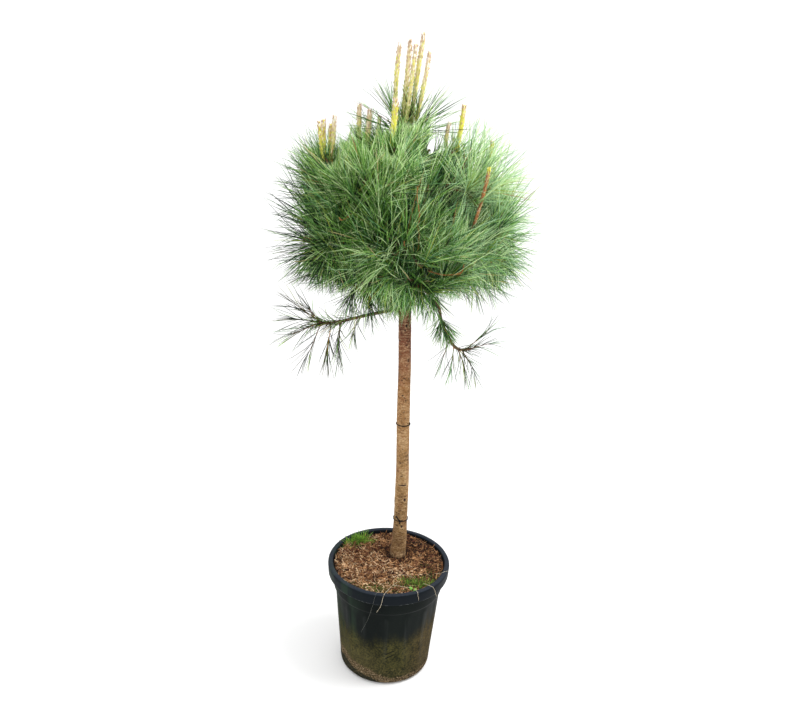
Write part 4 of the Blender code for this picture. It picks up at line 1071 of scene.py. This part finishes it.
# Painted light: shade deepens with depth into the crown and toward its left and underside, and light rises to its
# right and top; each shoot has its own shade, each needle wavers, with a share of painted highlights, and each
# stretch of a needle is a little lighter than the one before, so painted shade is deepest at the root
def needleTones(rng, shoots, owner, down):
    tip, depth = shoots["tip"], shoots["depth"]
    x, z = tip[:, 0], tip[:, 2]
    shade = np.interp(depth, [0.10, 0.45, 0.60, 1.0], [0.0, 0.02, 0.35, 0.60]) + rng.normal(0, 0.11, len(tip))
    outer, high = depth > 0.5, smoothStep(1.40, 1.55, z)
    shade += (0.24 * outer + 0.26 * high * (depth > 0.3)) * smoothStep(-0.02, 0.20, x)
    shade -= 0.16 * smoothStep(-0.10, -0.24, x)
    shade += 0.24 * smoothStep(1.45, 1.68, z) * (depth > 0.3) - 0.20 * smoothStep(1.42, 1.28, z)
    # Named shoots and the boughs' own needles keep their listed tone as their painted shade
    shade = np.where(np.isnan(shoots["tone"]), shade, shoots["tone"])
    lit = np.where(rng.random(len(owner)) < needle["litShare"], needle["lit"], needle["dim"])
    lit = lit + rng.normal(0, needle["waver"], len(owner))
    fine = 6.6 * shade[owner] * (1.10 - 0.30 * down) + 6.6 * lit * (0.55 + 0.65 * depth.clip(0, 1)[owner])
    blue = 0.12 + 0.42 * smoothStep(-0.05, 0.25, x) + 0.16 * cellNoise(tip, 0.12, 27)
    blue = rng.random(len(owner)) < blue[owner]
    # Olive-brown needles at the crown's lower left and underside: painted shade of its unlit side
    bronzeShade = smoothStep(-0.10, -0.28, x) * smoothStep(1.44, 1.30, z) + 0.5 * smoothStep(1.27, 1.20, z)
    bronze = rng.random(len(owner)) < 0.45 * bronzeShade[owner]
    odd = rng.random(len(owner))
    isOdd = [odd < 0.030, (odd < 0.046) & (down > 0.5), (odd < 0.056) & (down > 0.6)]
    special = np.select(isOdd, [list(needleColours).index(name) for name in ("yellow", "straw", "rust")], -1)
    stretches = []
    for change in needle["changes"]:
        tone = np.clip(np.round(fine + change), 0, 6).astype(int)
        tone = np.where(blue, blueInstead[tone], np.where(bronze, bronzeInstead[tone], tone))
        stretches.append(np.where(special >= 0, special, tone))
    return stretches


def makeNeedles(masses, shoots, shootLines):
    rng = np.random.default_rng(crown["seed"] + 2)
    owner, rank = dealOut(shoots["count"].astype(int) * 2)
    pair = rank // 2
    down = (pair + 0.5) / shoots["count"][owner]
    root, way, sag, bow, length = placeNeedles(rng, shoots, shootLines, owner, pair, down)
    length = shortenNeedles(rng, shoots["free"][owner], root, way, sag, bow, length)
    width = needle["width"] * rng.uniform(0.85, 1.15, len(owner))
    first, second, third = needleTones(rng, shoots, owner, down)
    quadTones = np.repeat(np.stack([first, second], 1), 3, axis=1)
    triTones = np.stack([third] * 3 + [first], 1)
    materials = plainColours("needle", needleColours, 0.42)
    for name in masses:
        mine = np.flatnonzero(shoots["mass"][owner] == name)
        points, *faces = growNeedles(*[part[mine] for part in (root, way, sag, length, bow, width)])
        tones = [quadTones[mine].reshape(-1), triTones[mine].reshape(-1)]
        makePiece(f"needles_{name}", points, faces, materials, tones, stands=[f"foliage_{name}"])
    print("needles:", len(owner))


# Candles: a tapering core under a spiral of small scales that stand up along it

candlePlan = dict(seed=83, steps=14, scale=0.0088, scaleWidth=0.0034, core=0.0048, middle=0.0062, gap=0.00072,
                  spread=26, reach=12.6)  # reach: how many steps up the scales go
candleLines = [  # base, tip, full radius, how yellow it is (-1: brown), and where its rosy tip starts
    ((-0.039, 0.008, 1.755), (-0.034, 0.003, 1.943), 0.0072, 0.5, 0.82),
    ((-0.020, 0.030, 1.738), (-0.007, 0.037, 1.956), 0.0080, 0.1, 0.64),
    ((-0.009, 0.008, 1.738), (0.009, 0.003, 1.941), 0.0075, 0.3, 0.76),
    ((0.005, 0.030, 1.738), (0.030, 0.037, 1.976), 0.0084, 0.5, 0.86),
    ((0.018, 0.008, 1.745), (0.047, 0.003, 1.923), 0.0071, 0.3, 0.72),
    ((-0.043, -0.082, 1.655), (-0.037, -0.080, 1.792), 0.0094, 1.0, 0.84),
    ((-0.231, 0.020, 1.605), (-0.238, 0.020, 1.738), 0.0081, 0.9, 0.66),
    ((-0.236, 0.008, 1.610), (-0.250, 0.004, 1.732), 0.0068, 0.8, 0.70),
    ((-0.222, 0.026, 1.610), (-0.219, 0.028, 1.728), 0.0073, 0.7, 0.62),
    ((-0.216, 0.012, 1.615), (-0.207, 0.014, 1.750), 0.0073, 0.5, 0.66),
    ((-0.140, 0.030, 1.680), (-0.141, 0.030, 1.782), 0.0078, 0.5, 0.62),
    ((-0.116, 0.026, 1.678), (-0.110, 0.026, 1.768), 0.0091, 0.3, 0.52),
    ((-0.090, 0.034, 1.680), (-0.083, 0.036, 1.752), 0.0068, 0.3, 0.70),
    ((0.136, 0.050, 1.655), (0.152, 0.050, 1.796), 0.0083, 0.9, 0.84),
    ((0.110, 0.044, 1.662), (0.114, 0.044, 1.748), 0.0065, 0.3, 0.70),
    ((0.236, 0.060, 1.640), (0.240, 0.060, 1.702), 0.0065, 0.9, 0.90),
    ((0.181, -0.180, 1.488), (0.2095, -0.182, 1.634), 0.0052, -1.0, 2.0)]
candleColours = {
    "olive": (0.200, 0.225, 0.050), "moss": (0.370, 0.420, 0.110), "lime": (0.620, 0.640, 0.220),
    "yellow": (0.700, 0.660, 0.100), "beige": (0.660, 0.590, 0.300), "cream": (0.860, 0.800, 0.560),
    "ochre": (0.480, 0.370, 0.170), "rose": (0.540, 0.380, 0.270), "blush": (0.780, 0.640, 0.530),
    "white": (0.930, 0.890, 0.840), "rust": (0.480, 0.210, 0.075), "brown": (0.270, 0.120, 0.050)}
candleShares = {  # what each part of a candle is made of: colours, each with the place at which its share ends
    "foot": dict(olive=0.55, moss=1),
    "bright": dict(yellow=0.66, lime=0.80, cream=0.92, ochre=1),
    "plain": dict(beige=0.40, cream=0.62, lime=0.80, ochre=0.92, moss=1),
    "rosy": dict(rose=0.40, blush=0.78, white=1),
    "old": dict(rust=0.40, brown=0.62, ochre=0.86, rose=1),
    "oldTip": dict(yellow=0.50, lime=1)}


# Colours by share of the height: olive foot, then yellow or beige with cream and ochre, then the rosy tip
def candleTones(rng, share, yellow, blush):
    climb = share + rng.normal(0, 0.045, len(share))
    pick, strong = rng.random(len(share)), rng.random(len(share)) < 0.85 * yellow
    foot, bright, plain, rosy, old, oldTip = [dealTones(pick, candleColours, shares)
                                              for shares in candleShares.values()]
    moss, rose, white = [list(candleColours).index(name) for name in ("moss", "rose", "white")]
    body = np.where(strong, bright, plain)
    tone = np.where(climb < 0.20, foot, np.where((climb < 0.42) & (pick < 0.45), moss, body))
    tone = np.where(climb > blush, rosy, np.where((climb > blush - 0.12) & (pick < 0.45), rose, tone))
    tone = np.where((climb > 0.93) & (pick > 0.5), white, tone)
    return np.where(yellow < 0, np.where(climb > 0.86, oldTip, old), tone)


def makeCandles():
    rng = np.random.default_rng(candlePlan["seed"])
    base, tip, full, yellow, blush = [np.array([line[k] for line in candleLines]) for k in range(5)]
    steps = np.linspace(0, 1, candlePlan["steps"])
    t = steps[None, :, None]
    bend = rng.normal(0, 0.010, (len(base), 3)) * [1, 1, 0]
    lines = base[:, None] + (tip - base)[:, None] * t + (bend[:, None] * t * (1 - t))
    swell = np.interp(steps, [0, 0.15, 0.80, 0.95, 1], [0.75, 0.9, 1.0, 0.8, 0.35])
    cores = sweepTubes(lines, candlePlan["core"] / candlePlan["middle"] * full[:, None] * swell[None], 8)
    counts = (np.linalg.norm(tip - base, axis=1) / candlePlan["gap"]).astype(int)
    owner, rank = dealOut(counts)
    share = (rank + 0.5) / counts[owner]
    place = share * candlePlan["reach"]
    core, axis = alongLines(lines, owner, place)
    side = unit(np.cross(axis, [0.0, 1.0, 0.0]))
    out = swing(rank * goldenTurn + rng.normal(0, 0.15, len(owner)), side, np.cross(axis, side))
    root = core + out * (0.45 * full[owner] * np.interp(place, np.arange(len(steps)), swell))[:, None]
    spread = np.radians(candlePlan["spread"]) + rng.normal(0, 0.10, len(owner))
    spread = spread + 0.10 * smoothStep(0.75, 1.0, share)
    size = candlePlan["scale"] * rng.uniform(0.8, 1.2, len(owner)) * (full[owner] / candlePlan["middle"])
    bow, width = [np.full(len(owner), value) for value in (0.16, candlePlan["scaleWidth"])]
    scales = growNeedles(root, swing(spread, axis, out), -out, size, bow, width)
    tone = candleTones(rng, share, yellow[owner], blush[owner])
    names = np.select([yellow > 0.6, yellow < 0], ["yellow", "brown"], "beige")
    coreTone = np.array([list(candleColours).index(name) for name in names])
    points, faces, tones = joinShapes([(*cores, coreTone), (*scales, tone)])
    nodes = [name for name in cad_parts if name.startswith("candle_")]
    makePiece("candles", points, faces, plainColours("candle", candleColours, 0.6), tones, stands=nodes)


# Ties: two strands of thin black wire twisted round each other along their line

tiePlan = dict(wire=0.00155, knot=1.5, twist=0.00080, pitch=0.012, gap=0.0017, steps=180)
tieLines = [  # node, height, how far its front sinks, and the points of its ends, from the trunk's middle there
    ("tie_high", 0.8335, 0.0008, [((0.0212, -0.009, 0.000), (0.0214, -0.010, 0.004), (0.0210, -0.011, 0.008))]),
    ("tie_low", 0.4930, 0.0010, [
        ((-0.004, -0.0235, 0.000), (-0.009, -0.0258, 0.009), (-0.015, -0.0225, 0.018)),
        ((-0.004, -0.0235, 0.000), (-0.001, -0.0268, -0.005), (-0.005, -0.0262, -0.009)),
        ((-0.006, -0.0240, 0.002), (0.002, -0.0268, 0.001), (0.006, -0.0255, 0.004))])]


def makeTies():
    material, worn, shader = mottledMaterial("tie_wire", {"Roughness": 0.6, "Specular IOR Level": 0.15}, 300,
                                             (0.50, 0.72), (0.003, 0.002, 0.002), (0.012, 0.008, 0.006))
    feed(bumpFrom(worn, 0.3, 0.0005), shader, "Normal")
    steps = tiePlan["steps"]
    for name, height, sink, ends in tieLines:
        turn, middle = np.linspace(0, 2 * math.pi, steps), trunkPoint(np.array(height))
        reach = trunkRadius(np.array(height)) + tiePlan["gap"]
        sagging = -sink * np.cos(turn + math.pi / 2) ** 2 * (np.sin(turn) < 0)
        loop = np.stack([reach * np.cos(turn), reach * np.sin(turn), sagging], -1) + middle
        strands, thick = [], []
        for line in [loop] + [smoothLine(np.array(line) + middle, steps) for line in ends]:
            run = np.append(0, np.cumsum(np.linalg.norm(np.diff(line, axis=0), axis=1)))
            ahead = unit(np.gradient(line, axis=0))
            side = unit(np.cross(ahead, up + np.array([0.02, 0.01, 0])))
            for phase in (0, math.pi):
                spin = run / tiePlan["pitch"] * 2 * math.pi + phase
                strands.append(line + tiePlan["twist"] * 0.55 * swing(spin, side, np.cross(ahead, side)))
                thick.append(np.full(steps, tiePlan["wire"] * 0.75 * (1 if line is loop else tiePlan["knot"])))
        points, *faces = sweepTubes(np.array(strands), np.array(thick), 6)
        makePiece(f"{name}_wire", points, faces, [material], stands=[name])


# Growth on the mix: a tuft of short blades, a cushion of moss sprouts, a seedling, and dry strands over the rim

greenPlan = dict(seed=97, rim=0.172)
greenColours = {"deep": (0.040, 0.085, 0.012), "leaf": (0.085, 0.190, 0.022), "bright": (0.170, 0.360, 0.040),
                "olive": (0.120, 0.125, 0.025), "lime": (0.280, 0.520, 0.060)}
# Patches: count, middle, spread, shortest and longest blade, width, lean, and the share of each colour
greenPatches = {
    "grass_blades": ("grass_tuft", "grass", [
        (330, (-0.118, 0.116), (0.018, 0.012), 0.010, 0.028, 0.0019, 0.50,
         dict(deep=0.28, leaf=0.26, bright=0.28, lime=0.18)),
        (120, (-0.118, 0.116), (0.023, 0.015), 0.024, 0.046, 0.0020, 0.62,
         dict(deep=0.1, leaf=0.25, bright=0.35, lime=0.3))]),
    "moss_sprouts": ("moss_patch", "moss", [
        (1700, (0.090, -0.110), (0.026, 0.012), 0.006, 0.015, 0.0016, 0.45,
         dict(deep=0.28, leaf=0.13, olive=0.42, lime=0.10, bright=0.07)),
        (560, (0.050, -0.122), (0.034, 0.016), 0.004, 0.011, 0.0014, 0.50,
         dict(deep=0.30, olive=0.45, leaf=0.25)),
        (420, (-0.032, -0.156), (0.022, 0.009), 0.004, 0.012, 0.0015, 0.50,
         dict(deep=0.30, leaf=0.35, olive=0.35)),
        (360, (0.138, -0.066), (0.016, 0.034), 0.004, 0.012, 0.0014, 0.50, dict(deep=0.3, olive=0.5, leaf=0.2)),
        (120, (-0.090, -0.142), (0.020, 0.008), 0.004, 0.009, 0.0013, 0.50, dict(deep=0.4, olive=0.6))])}


# Blades lean out from their patch's middle, and stay inside the rim
def scatterBlades(rng, count, centre, spread, low, high, width, lean, shares):
    flat = rng.normal(0, 1, (count, 2)) * spread
    spot = np.array(centre) + flat
    spot *= np.minimum(1, greenPlan["rim"] / np.linalg.norm(spot, axis=1))[:, None]
    way = unit(withHeight(flat / np.max(spread) * 0.30, 1) + rng.normal(0, lean, (count, 3)))
    sag = squareTo(-up + rng.normal(0, 0.5, way.shape), way)
    length, bow = rng.uniform(low, high, count), rng.uniform(0.1, 0.5, count)
    width = width * rng.uniform(0.7, 1.3, count)
    tones = [list(greenColours).index(name) for name in shares]
    blades = growNeedles(withHeight(spot, bedHeight(spot)), way, sag, length, bow, width)
    return (*blades, rng.choice(tones, count, p=list(shares.values())))


def makeGreens():
    rng = np.random.default_rng(greenPlan["seed"])
    materials = plainColours("green", greenColours, 0.6)
    for name, (node, slot, patches) in greenPatches.items():
        points, faces, tones = joinShapes([scatterBlades(rng, *patch) for patch in patches])
        makePiece(name, points, faces, materials, tones, stands=[node])


seedling = dict(width=0.36, rise=0.4, height=0.3600, thick=0.0005)
seedlingLeaves = [  # foot, turn and length
    ((0.070, -0.154), 0.9, 0.013), ((0.078, -0.156), -0.4, 0.014), ((0.074, -0.149), 2.2, 0.012),
    ((0.082, -0.151), 0.2, 0.010)]


# Seedling leaves: half width = width·sin(pi·v)^0.8 along a bent midrib, with a thin closed back
def makeSeedling():
    points, faces = [], []
    v, u = np.meshgrid(np.linspace(0.02, 0.98, 9), np.linspace(-1, 1, 5), indexing="ij")
    edge = np.concatenate([np.arange(4), np.arange(4, 44, 5), np.arange(44, 40, -1), np.arange(40, 0, -5)])
    after = np.roll(edge, -1)
    rim = np.stack([edge, edge + 45, after + 45, after], -1)
    quads = gridFaces(9, 5, closed=False)
    for i, (spot, turn, length) in enumerate(seedlingLeaves):
        half = seedling["width"] * length * np.sin(math.pi * v) ** 0.8
        run, across = length * v, half * u
        rise = seedling["rise"] * length * np.sin(v * 2.2) + 0.25 * np.abs(u) * half
        c, s = math.cos(turn), math.sin(turn)
        top = np.stack([run * c - across * s, run * s + across * c, rise], -1) + [*spot, seedling["height"]]
        points.append(np.concatenate([top.reshape(-1, 3), top.reshape(-1, 3) - [0, 0, seedling["thick"]]]))
        faces.append(np.concatenate([quads[:, ::-1], quads + 45, rim]) + 90 * i)
    material = mottledMaterial("seedling_leaf", {"Roughness": 0.5}, 260, (0.35, 0.65), (0.10, 0.27, 0.022),
                               (0.20, 0.42, 0.045))[0]
    makePiece("seedling_leaves", np.concatenate(points), [np.concatenate(faces)], [material])


dryLines = [  # dead roots and needles that lie on the mix and hang over the rim: points and half thickness
    ([(0.030, -0.118, 0.364), (0.012, -0.145, 0.366), (0.002, -0.172, 0.3708), (-0.009, -0.1925, 0.3712),
      (-0.0125, -0.2008, 0.362), (-0.0145, -0.2012, 0.350), (-0.020, -0.2010, 0.330),
      (-0.030, -0.1995, 0.310)], 0.00050),
    ([(-0.024, -0.160, 0.364), (-0.030, -0.180, 0.3708), (-0.0345, -0.1930, 0.3708), (-0.0370, -0.1975, 0.362),
      (-0.0440, -0.1935, 0.325), (-0.0560, -0.1880, 0.275), (-0.0760, -0.1840, 0.225)], 0.00026),
    ([(0.084, -0.150, 0.364), (0.0890, -0.170, 0.3708), (0.0925, -0.1790, 0.3705), (0.0945, -0.1790, 0.360),
      (0.0975, -0.1765, 0.342)], 0.00042),
    ([(0.112, -0.120, 0.364), (0.1240, -0.1360, 0.3708), (0.1360, -0.1440, 0.3712), (0.1450, -0.1390, 0.360),
      (0.1550, -0.1280, 0.326)], 0.00045),
    ([(0.012, -0.100, 0.366), (0.034, -0.086, 0.368), (0.060, -0.084, 0.367), (0.074, -0.092, 0.366)], 0.00038),
    ([(0.150, -0.070, 0.368), (0.165, -0.072, 0.3715), (0.182, -0.066, 0.3745),
      (0.192, -0.060, 0.3735)], 0.00034),
    ([(0.016, -0.140, 0.366), (0.034, -0.142, 0.367), (0.052, -0.146, 0.366), (0.070, -0.148, 0.367)], 0.00045)]
dryColours = {"dry_strand": ((0.52, 0.42, 0.27), (0.76, 0.68, 0.52)),  # darker and paler of each
              "dry_strand_thin": ((0.10, 0.105, 0.085), (0.17, 0.175, 0.15))}


# Pale strands, and a grey one that is the second of the list
def makeDryStrands():
    lines = np.array([smoothLine(line, 40) for line, thick in dryLines])
    lines += 0.0006 * np.stack([cellNoise(lines, 0.012, seed) for seed in (1, 2, 3)], -1)
    radii = np.linspace(1.15, 0.75, 40)[None] * np.array([thick for line, thick in dryLines])[:, None]
    materials = [mottledMaterial(name, {"Roughness": 0.7}, 150, (0.35, 0.65), *pair)[0]
                 for name, pair in dryColours.items()]
    grey = np.arange(len(lines)) == 1
    points, faces, tones = joinShapes([(*sweepTubes(lines, radii, 6), grey.astype(int))])
    makePiece("dry_strands", points, faces, materials, tones)


makeCamera()
makeStage()
print("camera, floor and light are in")
makePot()
makeMix()
makeShreds()
print("pot and mix are in")
makeTrunk()
makeTies()
print("trunk and ties are in")
masses = planMasses()
shoots = planShoots(masses)
sideLines, shootLines = planTwigs(masses, shoots)
makeBoughs(masses)
makeTwigs(sideLines, shootLines, shoots)
shoots, shootLines = addBoughNeedles(masses, shoots, shootLines)
makeNeedles(masses, shoots, shootLines)
makeCandles()
print("crown is in")
makeGreens()
makeSeedling()
makeDryStrands()
print("green growth and dry strands are in")
